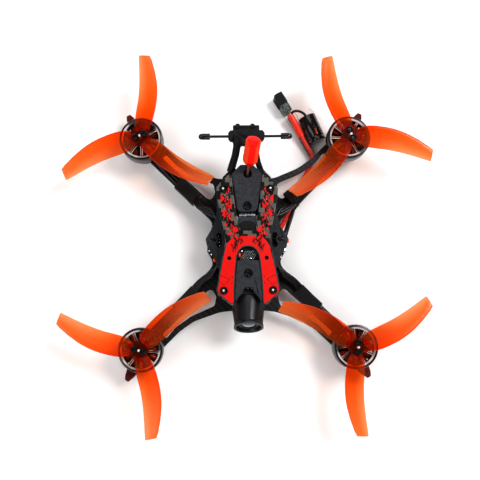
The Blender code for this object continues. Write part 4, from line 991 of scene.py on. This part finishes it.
ceramic, tree, shader = material("tan chip capacitor", 0.4)
finish(tree, shader, between(tree, noise(tree, in_mm(tree), 0.4), "#8d6b45", "#b18c60"))

shield, tree, shader = material("stamped tin-plated shield", 0.25, 1.0)
place = in_mm(tree)
finish(tree, shader, between(tree, noise(tree, place, 2.0), "#9da3a5", "#d9dddd"),
       levels(tree, noise(tree, place, 0.8), 0.3, 0.7, 0.15, 0.4), noise(tree, place, 1.0), 0.04)

cream, tree, shader = material("cream socket nylon", 0.45)
finish(tree, shader, between(tree, noise(tree, in_mm(tree), 0.8), "#d8d2bd", "#efe9d6"))

stack_middle, stack_reach = 0.85, 18.74
board_at = Matrix.Translation(Vector((0, stack_middle, 12.6)) * MM) @ Matrix.Rotation(math.pi / 4, 4, "Z")
board_parts = {"chips": (chip_plastic, bmesh.new()), "ends": (solder, bmesh.new()),
               "bodies": (ceramic, bmesh.new()),
               "pads": (gold, bmesh.new()), "sockets": (cream, bmesh.new())}


def board_part(kind, low, high, radius, steps, edge, turn):
    """One small part on the board, turned or moved by a matrix."""
    bm = board_parts[kind][1]
    before = len(bm.verts)
    rounded_box(bm, low, high, radius, steps, edge)
    bmesh.ops.transform(bm, matrix=turn, verts=list(bm.verts)[before:])


for side in range(4):
    turn = Matrix.Rotation(math.pi / 2 * side, 4, "Z")
    for step in range(7):                                    # pads in a row along the edge
        x = 2.6 * (step - 3)
        board_part("pads", (x - 0.8, 13.6, 0.0), (x + 0.8, 15.1, 0.06), 0.3, 2, 0.02, turn)
    for step in range(6):                                    # transistors behind the row
        x = 3.6 * (step - 2.5)
        board_part("chips", (x - 1.4, 9.9, 0.0), (x + 1.4, 12.7, 0.85), 0.15, 1, 0.1, turn)
scatter = random.Random(7)
for _ in range(70):                                          # scattered two-ended parts
    x, y = scatter.uniform(-12.5, 12.5), scatter.uniform(-9.0, 9.0)
    angle = scatter.choice((0, math.pi / 2))
    turn = Matrix.Translation(Vector((x, y, 0)) * MM) @ Matrix.Rotation(angle, 4, "Z")
    board_part("bodies", (-0.35, -0.27, 0), (0.35, 0.27, 0.5), 0.06, 1, 0.04, turn)
    board_part("ends", (-0.55, -0.28, 0), (-0.33, 0.28, 0.52), 0.06, 1, 0.04, turn)
    board_part("ends", (0.33, -0.28, 0), (0.55, 0.28, 0.52), 0.06, 1, 0.04, turn)
for x, y, wide in ((11.6, 6.0, 3.0), (-11.6, -5.5, 4.2), (4.0, -12.2, 5.0)):
    board_part("sockets", (x - wide / 2, y - 1.4, 0), (x + wide / 2, y + 1.4, 2.3), 0.2, 1, 0.15, Matrix())
# domes of solder where the battery wires and the motors' wires end
for x, y, radius in ((16.0, 12.8, 1.5), (12.4, 15.6, 1.3), (-15.2, 13.9, 0.9), (-13.9, 15.2, 0.9),
                     (13.4, -15.0, 1.2),
                     (15.2, -12.6, 0.9), (-15.0, -12.4, 0.8), (-12.6, -15.2, 0.8)):
    lathe(board_parts["ends"][1],
          ((radius, -0.2), (radius, 0.3), (0.8 * radius, 1.0), (0.4 * radius, 1.35), (0.05, 1.45)),
          20, (x, y))
for kind, (finish_with, bm) in board_parts.items():
    outcome(bm, finish_with, "board_" + kind, "airframe", board_at)

posts, grommets = bmesh.new(), bmesh.new()
for quarter in range(4):
    angle = quarter * math.pi / 2
    at = (stack_reach * math.cos(angle), stack_middle + stack_reach * math.sin(angle))
    lathe(posts, ((1.0, 4.4), (1.0, 15.45)), 20, at)
    lathe(posts, ((1.9, 0.6), (1.9, 1.1), (1.6, 1.45), (1.0, 1.5), (1.0, 4.5)), 24, at)
    lathe(grommets, ((2.3, 4.7), (2.3, 10.0), (1.45, 10.3), (1.45, 12.9), (2.3, 13.2), (2.3, 15.2),
                     (1.1, 15.3)), 24, at)
outcome(posts, black_steel, "stack_screws", "airframe")
outcome(grommets, rubber, "stack_grommets", "airframe")
# a capacitor and a socket stand out past the board's front corners
bm = bmesh.new()
lathe(bm, ((1.0, 10.4), (1.25, 10.6), (1.25, 13.2), (1.05, 13.6), (0.5, 13.75), (0.05, 13.8)), 20,
      (20.6, -4.9))
lathe(bm, ((0.6, 11.4), (0.75, 11.6), (0.7, 12.9), (0.05, 13.1)), 16, (-20.6, -4.6))
lathe(bm, ((0.5, 11.4), (0.6, 11.6), (0.55, 12.6), (0.05, 12.8)), 16, (-19.6, -6.6))
rounded_box(bm, (17.2, -9.2, 11.2), (19.3, -7.3, 12.9), 0.3, 2, 0.2)
outcome(bm, solder, "board_corner_parts", "airframe")
bm = bmesh.new()
rounded_box(bm, (-19.6, -8.2, 10.9), (-17.3, -5.8, 13.0), 0.25, 1, 0.15)
outcome(bm, chip_plastic, "board_corner_socket", "airframe")
# small red parts whose faint glow is painted light, so that they show in the shade under the guard
glowing_red, tree, shader = material("small red part with painted glow", 0.2, Emission_Strength=0.25,
                                 Emission_Color=linear("#ff3a10"))
finish(tree, shader, between(tree, noise(tree, in_mm(tree), 1.0), "#e8300c", "#ff6a2a"))
bm = bmesh.new()
rounded_box(bm, (-18.8, -10.9, 11.2), (-17.2, -9.0, 12.6), 0.3, 2, 0.2)
rounded_box(bm, (22.0, -0.6, 11.3), (23.6, 1.6, 12.6), 0.3, 2, 0.2)
outcome(bm, glowing_red, "board_red_glows", "airframe")


# ---------------------------------------------------------------- stack guard

# Grey printed guard over the board, whose two wings show beside the top plate. Its side screws
# sit in shallow cups, and an oval slot beside each shows the parts below.

grey_print = printed("charcoal printed TPU", "#27282c", "#37383d")
dress("stack_guard", grey_print, 0.45)
guard_screw = screw_mesh("guard_screw", 1.65, 0.5, 1.8)
for label, sign in (("left", -1), ("right", 1)):
    x = sign * stack_reach
    bm = bmesh.new()
    loft(bm, [ring(radius, level, 40, (x, stack_middle)) for radius, level in
              ((2.9, 17.45), (2.75, 17.56), (2.3, 17.58), (2.05, 17.4), (2.05, 17.3))], caps=(False, False))
    outcome(bm, grey_print, "guard_cup_" + label, "airframe")
    bm = bmesh.new()
    lathe(bm, ((2.05, 17.2), (2.05, 17.3), (0.5, 17.32)), 32, (x, stack_middle))
    outcome(bm, rubber, "guard_washer_" + label, "airframe")
    place_screw("guard_screw_" + label, guard_screw, Vector((x, stack_middle, 17.3)) * MM)
    # parts seen through the oval slot
    bm = bmesh.new()
    for step, y in enumerate((-2.4, -0.6, 1.3, 3.1)):
        lathe(bm, ((0.55, 13.2), (0.62, 14.2), (0.3, 15.3), (0.05, 15.35)), 14,
              (sign * (15.1 + 0.45 * (step % 2)), y))
    outcome(bm, solder if sign < 0 else glossy_black, "slot_pins_" + label, "airframe")
    bm = bmesh.new()
    rounded_box(bm, (sign * 15.3 - 1.1, -3.0, 12.7), (sign * 15.3 + 1.1, 4.3, 13.9), 0.3, 2, 0.15)
    outcome(bm, chip_plastic, "slot_socket_" + label, "airframe")


# ---------------------------------------------------------------- video transmitter

# It hangs under the top plate, and shows in the gap between the covers. A tin-plated shield lies
# behind, then a printed collar with a textured rubber button, and dark parts in front.

vtx_metal, tree, shader = material("video transmitter", 0.26, 1.0)
place = in_mm(tree)
height = add_node(tree, "SeparateXYZ", {0: place}).outputs[2]
can_share = levels(tree, height, 22.74, 22.78)
tin = between(tree, noise(tree, place, 2.0), "#8f9698", "#d5dada")
finish(tree, shader, between(tree, can_share, "#0c110f", tin),
       levels(tree, noise(tree, place, 0.9), 0.3, 0.7, 0.18, 0.38),
       noise(tree, place, 1.1), 0.04)
tree.links.new(can_share, shader.inputs["Metallic"])
dress("video_transmitter", vtx_metal, 0.2)

bm = bmesh.new()
for index in range(6):                                       # folded lugs along the shield's rear edge
    rounded_box(bm, (-6.6 + 2.3 * index, 11.6, 25.2), (-5.2 + 2.3 * index, 12.9, 26.1), 0.2, 1, 0.1)
rounded_box(bm, (-4.4, 12.3, 25.85), (4.4, 13.7, 26.7), 0.3, 2, 0.2)
outcome(bm, shield, "vtx_shield_lugs", "airframe")
bm = bmesh.new()
half = [(4.35, 11.9), (4.75, 9.0), (4.8, 6.6), (4.1, 5.0), (2.6, 4.35), (0.9, 4.15)]
outline = half + [(-x, y) for x, y in reversed(half)]
loft(bm, [[Vector((x * grow, 8 + (y - 8) * grow, level)) * MM for x, y in outline]
          for grow, level in ((1.0, 25.95), (1.0, 27.9), (0.93, 28.3))])
outcome(bm, grey_print, "vtx_collar", "airframe", smooth=30)

knurled, tree, shader = material("textured button rubber", 0.6)
place = in_mm(tree)
pips = add_node(tree, "TexVoronoi", {"Vector": place, "Scale": 1.5}).outputs[0]
finish(tree, shader, between(tree, levels(tree, pips, 0.1, 0.6), "#17181a", "#08090a"), None, pips, 0.3)
bm = bmesh.new()
angles = [2 * math.pi * k / 36 for k in range(36)]
button = ((1.0, 28.0), (1.02, 28.5), (0.95, 28.75), (0.8, 28.7), (0.5, 28.62), (0.05, 28.6))
loft(bm, [[Vector((4.2 * scale * math.cos(a), 7.0 + 2.5 * scale * math.sin(a), level)) * MM for a in angles]
          for scale, level in button])
outcome(bm, knurled, "vtx_button", "airframe")

# a dark sheet over the front half of the shield, which makes the gap between the covers show dark
bm = bmesh.new()
rounded_box(bm, (-6.6, -10.6, 25.95), (6.6, -0.5, 26.25), 0.6, 3, 0.1)
outcome(bm, chip_plastic, "vtx_front_dark_sheet", "airframe")
bm = bmesh.new()
for index in range(7):                                       # thin ribbon cable traces across the gap
    start = Vector((-4.2 + 1.1 * index, -11.4, 26.42))
    rise = Vector((3.6, 5.4, 0.0)).normalized()
    side = Vector((-rise.y, rise.x, 0)) * 0.11
    strip = [start + side, start + rise * 6 + side, start + rise * 6 - side, start - side]
    loft(bm, [[(point + Vector((0, 0, z))) * MM for point in strip] for z in (0, 0.12)])
outcome(bm, shield, "vtx_ribbon_lines", "airframe")
bm = bmesh.new()
lathe(bm, ((0.62, 26.2), (0.62, 26.9), (0.35, 27.15), (0.05, 27.2)), 18, (1.6, -10.6))
lathe(bm, ((0.4, 26.2), (0.4, 26.8), (0.05, 26.9)), 14, (-3.3, -6.6))
rounded_box(bm, (2.2, -7.0, 26.2), (3.4, -6.3, 26.7), 0.1, 1, 0.08)
outcome(bm, solder, "vtx_solder_joints", "airframe")
# a small red part, glowing with painted light, in the gap between the covers
bm = bmesh.new()
rounded_box(bm, (-4.9, -9.6, 26.2), (-3.9, -7.6, 27.0), 0.25, 2, 0.15)
outcome(bm, glowing_red, "vtx_red_glow", "airframe")


# ---------------------------------------------------------------- top plate

# A 2 mm carbon plate with a coarse glossy twill. Its two front prongs are printed solid red with
# a dark teal border, and splinters of red, black and grey run back along both sides.

top_tow = 2.35
# the lighter colour is the painted sheen of the lengthwise tows
plate_carbon = carbon("top plate's coarse carbon twill", top_tow, "#625e58", "#0e0f0c", "#1c1c20", 0.3)
dress("top_plate", plate_carbon, 0.25)


def ink(name, dark, light):
    """Printed ink: satin, a little uneven, with the weave just showing through."""
    made, tree, shader = material(name, 0.34, Coat_Weight=0.15, Coat_Roughness=0.3)
    place = in_mm(tree)
    _, relief, _ = twill(tree, place, top_tow)
    finish(tree, shader, between(tree, noise(tree, place, 2.4, 5), dark, light),
           levels(tree, noise(tree, place, 0.7), 0.3, 0.7, 0.28, 0.42), relief, 0.012)
    return made


red_ink = ink("red ink", "#c80600", "#dc0c00")
teal_ink = ink("dark teal ink", "#1d2c30", "#2b3e42")
black_ink = ink("black ink", "#0a0b0b", "#161717")
grey_ink = ink("grey ink", "#8a8684", "#a3a09c")


def print_shapes(name, shapes, level, ink_with, holes=()):
    """Thin ink shapes of (x, y) in millimetres on the top plate, each made on both sides of the middle."""
    bm = bmesh.new()
    for shape in shapes:
        loops = [shape, *holes]
        triangles = tessellate_polygon([[Vector((x, y, 0)) for x, y in loop] for loop in loops])
        for mirror in (1, -1):
            points = [(mirror * x, y) for loop in loops for x, y in loop]
            sheets = [[bm.verts.new(Vector((x, y, height)) * MM) for x, y in points]
                      for height in (level - 0.02, level)]
            for triangle in triangles:
                for sheet in sheets:
                    bm.faces.new([sheet[index] for index in triangle])
            start = 0
            for loop in loops:
                for index in range(len(loop)):
                    here, after = start + index, start + (index + 1) % len(loop)
                    bm.faces.new((sheets[0][here], sheets[0][after], sheets[1][after], sheets[1][here]))
                start += len(loop)
    return outcome(bm, ink_with, name, "airframe", smooth=20)


outer_edge = ((9.35, -35.05), (15.95, -29.75), (16.75, -27.4), (14.55, -15.15), (12.65, -6.2), (12.1, -4.0))
inner_edge = ((8.35, -34.6), (8.0, -33.0), (8.0, -28.0), (7.3, -17.2), (6.5, -9.8), (5.75, -7.5),
              (4.6, -5.7), (3.1, -4.5), (1.2, -3.9), (0, -3.85))


def inset(points, distance):
    """A line moved towards the middle of the prong by a distance."""
    moved = []
    for index, point in enumerate(points):
        before, after = Vector(points[max(index - 1, 0)]), Vector(points[min(index + 1, len(points) - 1)])
        along = (after - before).normalized()
        moved.append((point[0] - distance * along.y, point[1] + distance * along.x))
    return moved


outer_in = inset(outer_edge, 0.55)
inner_in = inset(inner_edge, 0.6)
inner_in[-1] = (0, inner_in[-1][1])
prong = [(0, 1.1), (3.9, 1.1), (4.7, 0.5), (6.1, 1.2), (7.3, 1.5), (9.4, -0.9), (11.1, -2.9)]
prong += outer_in[::-1] + inner_in
hole = [(10.0 + 1.15 * math.cos(a), -10.65 + 1.15 * math.sin(a))
        for a in [math.pi * k / 10 for k in range(20)]]
print_shapes("print_red_prongs", [prong], 29.53, red_ink, [hole])
borders = [[edge[step], edge[step + 1], inner[step + 1], inner[step]]
           for edge, inner in ((outer_edge, outer_in), (inner_edge, inner_in))
           for step in range(len(edge) - 1)]
borders += [[outer_edge[0], inner_edge[0], inner_in[0], outer_in[0]]]
print_shapes("print_teal_border", borders, 29.55, teal_ink)

red_splinters = [
    [(8.9, 26.1), (9.9, 28.0), (10.3, 26.7)], [(9.9, 26.7), (12.1, 25.1), (11.0, 24.0), (9.8, 25.0)],
    [(14.3, 24.0), (11.9, 21.8), (14.1, 19.2)], [(10.5, 23.2), (12.3, 20.4), (10.8, 16.2), (9.8, 18.8)],
    [(8.0, 19.8), (9.9, 17.3), (8.5, 15.6)], [(11.0, 17.6), (13.7, 12.6), (12.0, 11.3), (10.0, 14.6)],
    [(9.2, 14.6), (10.9, 11.8), (9.3, 9.7), (8.7, 12.0)], [(12.4, 18.6), (13.3, 18.2), (12.7, 17.4)],
    [(11.1, 9.3), (12.6, 7.8), (11.3, 6.8), (10.1, 8.2)], [(8.6, 8.0), (10.0, 6.4), (8.3, 4.6), (7.6, 6.0)],
    [(5.6, 5.9), (8.0, 6.6), (8.4, 4.2), (6.3, 3.1), (4.9, 4.1)],
                 [(9.0, 4.2), (10.9, 2.0), (9.6, 1.0), (8.3, 2.6)],
    [(6.6, 3.4), (8.4, 3.2), (7.9, 1.4), (6.2, 1.6)], [(8.9, 21.6), (9.8, 20.8), (8.9, 19.8)],
    [(12.9, 16.2), (13.7, 14.4), (12.9, 14.0)], [(9.9, 11.0), (11.2, 10.2), (10.0, 9.2)],
    [(10.2, 19.9), (11.6, 23.6), (10.9, 19.0)], [(8.2, 11.0), (8.8, 10.0), (8.1, 9.2)],
                 [(10.2, 5.8), (11.6, 5.2), (10.6, 4.2)]]
splinters = random.Random(11)
black_splinters, grey_splinters = [], []
for count, target, length, width in ((9, red_splinters, 3.6, 0.45), (54, black_splinters, 2.9, 0.36),
                                     (10, grey_splinters, 1.5, 0.2)):
    for _ in range(count):
        y = splinters.uniform(0.8, 26.0)
        middle = 10.7 if y > 8 else 7.6 + 0.39 * y
        x = middle + splinters.gauss(0, 1.05)
        lean = splinters.gauss(0, 0.42) - 0.2
        reach = length * splinters.uniform(0.45, 1.15)
        along = Vector((math.sin(lean), math.cos(lean))) * reach / 2
        across = Vector((along.y, -along.x)).normalized() * width * splinters.uniform(0.6, 1.5)
        here = Vector((x, y))
        if x - abs(along.x) < 6.2 + 0.07 * (y - 5) if y > 3 else x < 4.5:
            continue
        if x + abs(along.x) > (13.4 if y > 8 else 11.6):
            continue
        target.append([tuple(here + along),
                       tuple(here + across * 0.9 + along * splinters.uniform(-0.5, 0.2)),
                       tuple(here - along), tuple(here - across * splinters.uniform(0.0, 0.6))])
for _ in range(64):                                          # slashes in the red behind the slot
    angle = splinters.uniform(0.15, 1.5)
    out = Vector((math.cos(angle), math.sin(angle)))
    here = Vector((0.6, -8.0)) + out * splinters.uniform(5.9, 10.2)
    lean = splinters.gauss(0.5, 0.35)
    along = Vector((math.sin(lean), math.cos(lean))) * splinters.uniform(0.7, 1.9)
    across = Vector((along.y, -along.x)).normalized() * splinters.uniform(0.16, 0.34)
    if here.x - abs(along.x) < 2.2 or here.x > 8.6 or here.y > 0.8:
        continue
    target = black_splinters if splinters.random() < 0.92 else grey_splinters
    target.append([tuple(here + along), tuple(here + across), tuple(here - along),
                   tuple(here - across * 0.4)])
print_shapes("print_red_splinters", red_splinters, 29.53, red_ink)
# fine cuts round the top of the slot and two thin chevrons near the front screws
for start, along, wide in (((4.9, 0.4), (0.5, -3.6), 0.35), ((6.4, 0.2), (-0.7, -4.4), 0.32),
                           ((3.9, 0.9), (1.4, -3.0), 0.3),
                           ((2.6, -0.6), (1.7, -2.6), 0.28), ((7.0, -1.6), (-1.1, -3.6), 0.3),
                           ((5.6, -4.4), (1.3, 3.2), 0.26),
                           ((3.2, -2.2), (1.5, -1.2), 0.26)):
    start, along = Vector(start), Vector(along)
    side = Vector((along.y, -along.x)).normalized() * wide
    black_splinters.append([tuple(start), tuple(start + along * 0.45 + side), tuple(start + along)])
for first, second in (((14.9, -19.6), (9.9, -21.9)), ((9.9, -21.9), (12.6, -24.9)),
                      ((12.6, -24.9), (16.1, -22.6)), ((8.7, -20.0), (8.2, -21.2)),
                      ((8.3, -23.4), (9.0, -24.6))):
    first, second = Vector(first), Vector(second)
    side = Vector(((second - first).y, -(second - first).x)).normalized() * 0.11
    black_splinters.append([tuple(first + side), tuple(second + side), tuple(second - side),
                            tuple(first - side)])
print_shapes("print_black_splinters", black_splinters, 29.56, black_ink)
print_shapes("print_grey_splinters", grey_splinters, 29.57, grey_ink)


# ---------------------------------------------------------------- covers

# Two charcoal printed covers fill the plate's slots flush. Each is held by one sunk screw. The
# front one also carries the camera's bracket, and the rear one guides the antenna's cable.

dress("front_cover", grey_print, 0.5)
dress("rear_cover", grey_print, 0.45)
for label, y, top in (("front", -18.8, 29.82), ("rear", 17.4, 30.12)):
    bm = bmesh.new()
    loft(bm, [ring(radius, level, 36, (0, y)) for radius, level in
              ((2.9, top - 0.03), (2.75, top + 0.12), (2.45, top + 0.05), (2.28, top - 0.3),
               (2.28, top - 1.15))], caps=(False, False))
    outcome(bm, grey_print, "cover_cup_" + label, "airframe")
bm = bmesh.new()
loft(bm, [ring(radius, level, 36, (0.4, 35.0)) for radius, level in
          ((2.15, 30.0), (2.12, 28.6), (1.9, 27.6), (0.05, 27.5))], caps=(False, True))
outcome(bm, rubber, "cable_boot", "airframe")


# ---------------------------------------------------------------- antenna bracket

# Dark printed bracket behind the body. Its two legs rise to a holder with tapered ends for the
# bar antenna, clamped by a ribbed block. The receiver's cable runs up the left leg in a tube.

dark_print = printed("black printed TPU", "#0d0d0f", "#1c1d20", 0.28, 0.58)
dress("antenna_mount", dark_print, 0.25)
bm = bmesh.new()
rounded_box(bm, (-6.6, 58.9, 31.4), (6.4, 60.5, 35.0), 0.5, 3, 0.3)
for x in (-4.7, 3.3):                                        # two screw bosses on the clamp
    lathe(bm, ((1.35, 31.6), (1.35, 35.2), (1.05, 35.5), (0.3, 35.55)), 28, (x, 60.0))
outcome(bm, dark_print, "antenna_clamp", "airframe")
bm = bmesh.new()
route = smooth_route(((-9.0, 37.2, 26.2), (-7.9, 40.4, 28.2), (-6.5, 44.4, 30.4), (-5.6, 48.4, 32.6),
                      (-5.2, 51.8, 34.4), (-5.1, 54.4, 35.2)), 8)
rings = []
for index, point in enumerate(route):
    ahead = (route[min(index + 1, len(route) - 1)] - route[max(index - 1, 0)]).normalized()
    across = ahead.cross(Vector((0, 0, 1))).normalized()
    up = across.cross(ahead)
    left = len(route) - 1 - index
    narrowing = math.sqrt(max(1 - ((3 - left) / 3) ** 2, 0.02)) if left < 3 else 1    # rounded far end
    radius = (1.87 if index % 2 else 1.7) * narrowing * MM
    rings.append([point + (across * math.cos(a) + up * math.sin(a)) * radius
                  for a in [2 * math.pi * k / 20 for k in range(20)]])
loft(bm, rings)
outcome(bm, dark_print, "receiver_cable_tube", "airframe", smooth=50)


# ---------------------------------------------------------------- antennas

# A receiver antenna with a thin rod each way and a moulded bullet cap on both ends, and the
# video antenna: a bright red moulded cap with flat facets on a short copper-coloured coax.

gloss_rubber, tree, shader = material("glossy antenna moulding", 0.2, Coat_Weight=0.5, Coat_Roughness=0.12)
finish(tree, shader, between(tree, noise(tree, in_mm(tree), 1.5), "#08090a", "#15161a"), None,
       noise(tree, in_mm(tree), 0.9), 0.015)
bm = bmesh.new()
for sign in (-1, 1):
    profile = ((0.0, 0.72), (18.9, 0.72), (19.05, 1.2), (19.15, 1.62), (19.5, 1.7), (23.4, 1.68),
               (24.3, 1.5), (24.9, 1.1), (25.2, 0.6), (25.3, 0.05))
    rings = [[Vector((-0.5 + sign * along, 55.0 + radius * math.cos(a), 32.5 + radius * math.sin(a))) * MM
              for a in [2 * math.pi * k / 24 for k in range(24)]] for along, radius in profile]
    loft(bm, rings, caps=(False, True))
outcome(bm, gloss_rubber, "bar_antenna", "airframe", replaces=("receiver_antenna",))

antenna_red, tree, shader = material("bright red moulded cap with painted side light", 0.4)
place = in_mm(tree)
# the facets that face sideways are painted more orange, as the light that falls on them
sideways = facing(tree, 0, 0.5, 0.75)
finish(tree, shader,
       between(tree, sideways, between(tree, noise(tree, place, 4.0), "#f00c00", "#fa1400"), "#ff4a12"),
       levels(tree, noise(tree, place, 0.5), 0.3, 0.7, 0.34, 0.5), noise(tree, place, 0.4), 0.02)
back_lean, side_lean = Matrix.Rotation(math.radians(-44), 4, "X"), Matrix.Rotation(math.radians(8), 4, "Y")
lean = Matrix.Translation(Vector((0.4, 34.9, 29.9)) * MM) @ back_lean @ side_lean
bm = bmesh.new()
facets = 8


def faceted(radius, level, roundness):
    """Ring of a cap whose cross-section goes from an eight-sided prism to a circle."""
    points = []
    for index in range(60):
        angle = 2 * math.pi * index / 60
        inside = (angle + math.pi / facets) % (2 * math.pi / facets) - math.pi / facets
        flat = math.cos(math.pi / facets) / math.cos(inside)
        reach = radius * (flat + (1 - flat) * roundness)
        points.append(Vector((reach * math.cos(angle), reach * math.sin(angle), level)) * MM)
    return points


loft(bm, [faceted(1.15, 5.3, 0.8), faceted(1.5, 5.5, 0.6), faceted(3.9, 8.3, 0.0), faceted(4.2, 9.0, 0.0),
          faceted(4.22, 19.0, 0.0),
          faceted(4.16, 19.2, 0.2), faceted(4.2, 19.5, 0.5), faceted(4.1, 20.8, 0.9),
          faceted(3.6, 21.6, 1.0),
          faceted(2.2, 22.1, 1.0), faceted(0.1, 22.2, 1.0)])
outcome(bm, antenna_red, "video_antenna_cap", "airframe", lean, smooth=14,
        replaces=("vtx_antenna",))

coax, tree, shader = material("copper-coloured coax jacket", 0.3, 0.7)
place = in_mm(tree)
finish(tree, shader, between(tree, noise(tree, place, 0.8), "#6f4a38", "#b98a6e"), None,
       noise(tree, in_mm(tree, (6, 6, 1)), 0.8), 0.03)
cable = wire("antenna_coax", smooth_route(((0.4, 34.8, 28.0), (0.4, 35.0, 29.6), (0.6, 36.3, 31.4),
                                           (0.9, 37.7, 32.8), (1.2, 39.0, 34.1)), 5),
             0.68 * MM, coax)


# ---------------------------------------------------------------- camera

# A micro camera between the bracket's cheeks, tipped up by 20 degrees: square case with a grooved
# back and side screws, a lens barrel with rings, and a soft guard with a lip over the barrel.

case_black, tree, shader = material("black camera case", 0.42)
place = in_mm(tree)
finish(tree, shader, between(tree, noise(tree, place, 1.4), "#121315", "#212226"),
       levels(tree, noise(tree, place, 0.5), 0.3, 0.7, 0.34, 0.5), noise(tree, place, 0.3, 5), 0.015)
dress("camera_housing", case_black, 0.3)

guard_black, tree, shader = material("satin black lens guard", 0.34, Coat_Weight=0.2, Coat_Roughness=0.25)
place = in_mm(tree)
grain = noise(tree, place, 0.7, 6)
finish(tree, shader, between(tree, grain, "#0c0c0e", "#1c1d20"), levels(tree, grain, 0.3, 0.7, 0.28, 0.46),
       grain, 0.05)
dress("lens_guard", guard_black, 0.25)

pivot = Vector((0, -27, 16))
tilt = Matrix.Translation(pivot * MM) @ Matrix.Rotation(math.radians(90 - 20), 4, "X")
bm = bmesh.new()
for angle in (0.08, math.pi / 2 + 0.62):                     # mould seams along the guard's outside
    rings = []
    for radius, level in ((9.0, 6.6), (8.8, 10.4), (7.68, 19.8)):
        at = Vector((radius * math.sin(angle), radius * math.cos(angle), level))
        side = Vector((math.cos(angle), -math.sin(angle), 0)) * 0.16
        out = Vector((math.sin(angle), math.cos(angle), 0)) * 0.12
        rings.append([(at + side - out) * MM, (at + side + out) * MM, (at - side + out) * MM,
                      (at - side - out) * MM])
    loft(bm, rings)
outcome(bm, guard_black, "guard_seams", "camera", tilt)

lip_grey, tree, shader = material("worn grey rubber lip", 0.5)
finish(tree, shader, between(tree, noise(tree, in_mm(tree), 1.1, 5), "#2e3032", "#55585b"), None,
       noise(tree, in_mm(tree), 0.5), 0.03)
bm = bmesh.new()
lip = ((7.95, 21.4), (8.02, 21.85), (7.7, 22.02), (7.05, 22.0), (6.85, 21.7))
loft(bm, [ring(radius, level, 56) for radius, level in lip], caps=(False, False))
outcome(bm, lip_grey, "guard_lip", "camera", tilt)

bm = bmesh.new()
for radius, level in ((5.7, 20.55), (5.0, 20.35), (4.35, 20.1)):   # steps in front of the glass
    loft(bm, [ring(radius - inward, level + rise, 48) for inward, rise in
              ((0, -0.3), (0, 0), (0.35, 0.05), (0.55, -0.3))], caps=(False, False))
outcome(bm, case_black, "lens_rings", "camera", tilt)

glass, tree, shader = material("coated camera glass", 0.03, Coat_Weight=1.0, Coat_Roughness=0.02,
                               Coat_IOR=1.4, Specular_IOR_Level=0.5)
place = in_mm(tree)
# the glass is painted lighter blue-grey towards its rim and in soft patches: painted reflection
painted_rim_reflection = add_node(tree, "LayerWeight", {"Blend": 0.35}).outputs["Facing"]
tint = between(tree, levels(tree, painted_rim_reflection, 0.0, 0.75), "#06090c", "#36474f")
finish(tree, shader,
       between(tree, levels(tree, noise(tree, place, 3.0, 1), 0.4, 0.6, 0.0, 0.4), tint, "#5a6d75"))
bm = bmesh.new()
dome = ((4.05, 19.2), (4.05, 19.75), (3.9, 20.0), (3.4, 20.35), (2.6, 20.68), (1.7, 20.88), (0.8, 20.98),
        (0.05, 21.0))
loft(bm, [ring(radius, level, 48) for radius, level in dome])
outcome(bm, glass, "front_glass", "camera", tilt, replaces=("lens_glass",))

bm = bmesh.new()
for index in range(9):                                       # ribs of the case's heat sink at the back
    x, foot = 1.9 * (index - 4), 3.4 if index in (3, 4, 5) else -3.6
    rounded_box(bm, (x - 0.35, foot, -6.4), (x + 0.35, 7.2, -5.7), 0.15, 1, 0.1)
for sx in (-1, 1):
    for sy in (-1, 1):
        lathe(bm, ((1.0, 5.9), (1.0, 6.25), (0.7, 6.4), (0.55, 6.2)), 20, (sx * 7.4, sy * 6.9))
outcome(bm, case_black, "camera_ribs", "camera", tilt)
for label, sign in (("left", -1), ("right", 1)):
    at = Matrix.Translation((pivot + Vector((sign * 10.5, 0, 0))) * MM)
    at = at @ Matrix.Rotation(sign * math.pi / 2, 4, "Y")
    outcome(foot_screw, None, "camera_pivot_screw_" + label, "airframe", at)
# plain mottled strip on the case's top
strip_grey, tree, shader = material("grey printed strip", 0.4)
mottle = levels(tree, noise(tree, in_mm(tree), 1.2, 1), 0.48, 0.52)
finish(tree, shader, between(tree, mottle, "#34373a", "#8e9496"))
bm = bmesh.new()
rounded_box(bm, (-3.4, 8.42, 1.6), (3.4, 8.58, 3.0), 0.05, 1, 0.03)
outcome(bm, strip_grey, "camera_label", "camera", tilt)


# ---------------------------------------------------------------- floor and light

# White studio sweep. A soft lamp high behind the right side gives faint shadows towards the front
# left. Three wide weaker lamps fill from the other sides, so that curved gloss shows clear streaks.

floor_white, tree, shader = material("white studio floor", 0.55, Specular_IOR_Level=0.1)
finish(tree, shader, between(tree, noise(tree, in_mm(tree), 120), "#f7f7f7", "#fbfbfb"))
bm = bmesh.new()
floor_level = -0.0076                                        # just under the soles of the feet
bm.faces.new([bm.verts.new((x, y, floor_level)) for x, y in ((-3, -3), (3, -3), (3, 3), (-3, 3))])
floor = bpy.data.objects.new("floor", mesh_from(bm, floor_white, "floor"))
bpy.context.scene.collection.objects.link(floor)

world = bpy.data.worlds.new("studio")
world.use_nodes = True
tree = world.node_tree
seen = add_node(tree, "LightPath").outputs["Is Camera Ray"]
background = tree.nodes["Background"]
background.inputs[0].default_value = (1, 1, 1, 1)
tree.links.new(levels(tree, seen, 0, 1, 0.12, 1.0), background.inputs[1])
bpy.context.scene.world = world
for name, at, size, power in (("key", (0.5, 0.3, 0.9), 0.45, 7.5),
                              ("left_fill", (-0.62, -0.2, 0.8), 0.8, 3.6),
                              ("front_fill", (0.25, -0.8, 0.7), 0.8, 3.2),
                              ("rear_fill", (-0.15, 0.8, 0.8), 0.8, 3.0)):
    lamp = bpy.data.objects.new(name, bpy.data.lights.new(name, "AREA"))
    lamp.data.shape, lamp.data.size, lamp.data.energy = "DISK", size, power
    lamp.location = at
    lamp.rotation_euler = (-Vector(at)).to_track_quat("-Z", "Y").to_euler()
    bpy.context.scene.collection.objects.link(lamp)
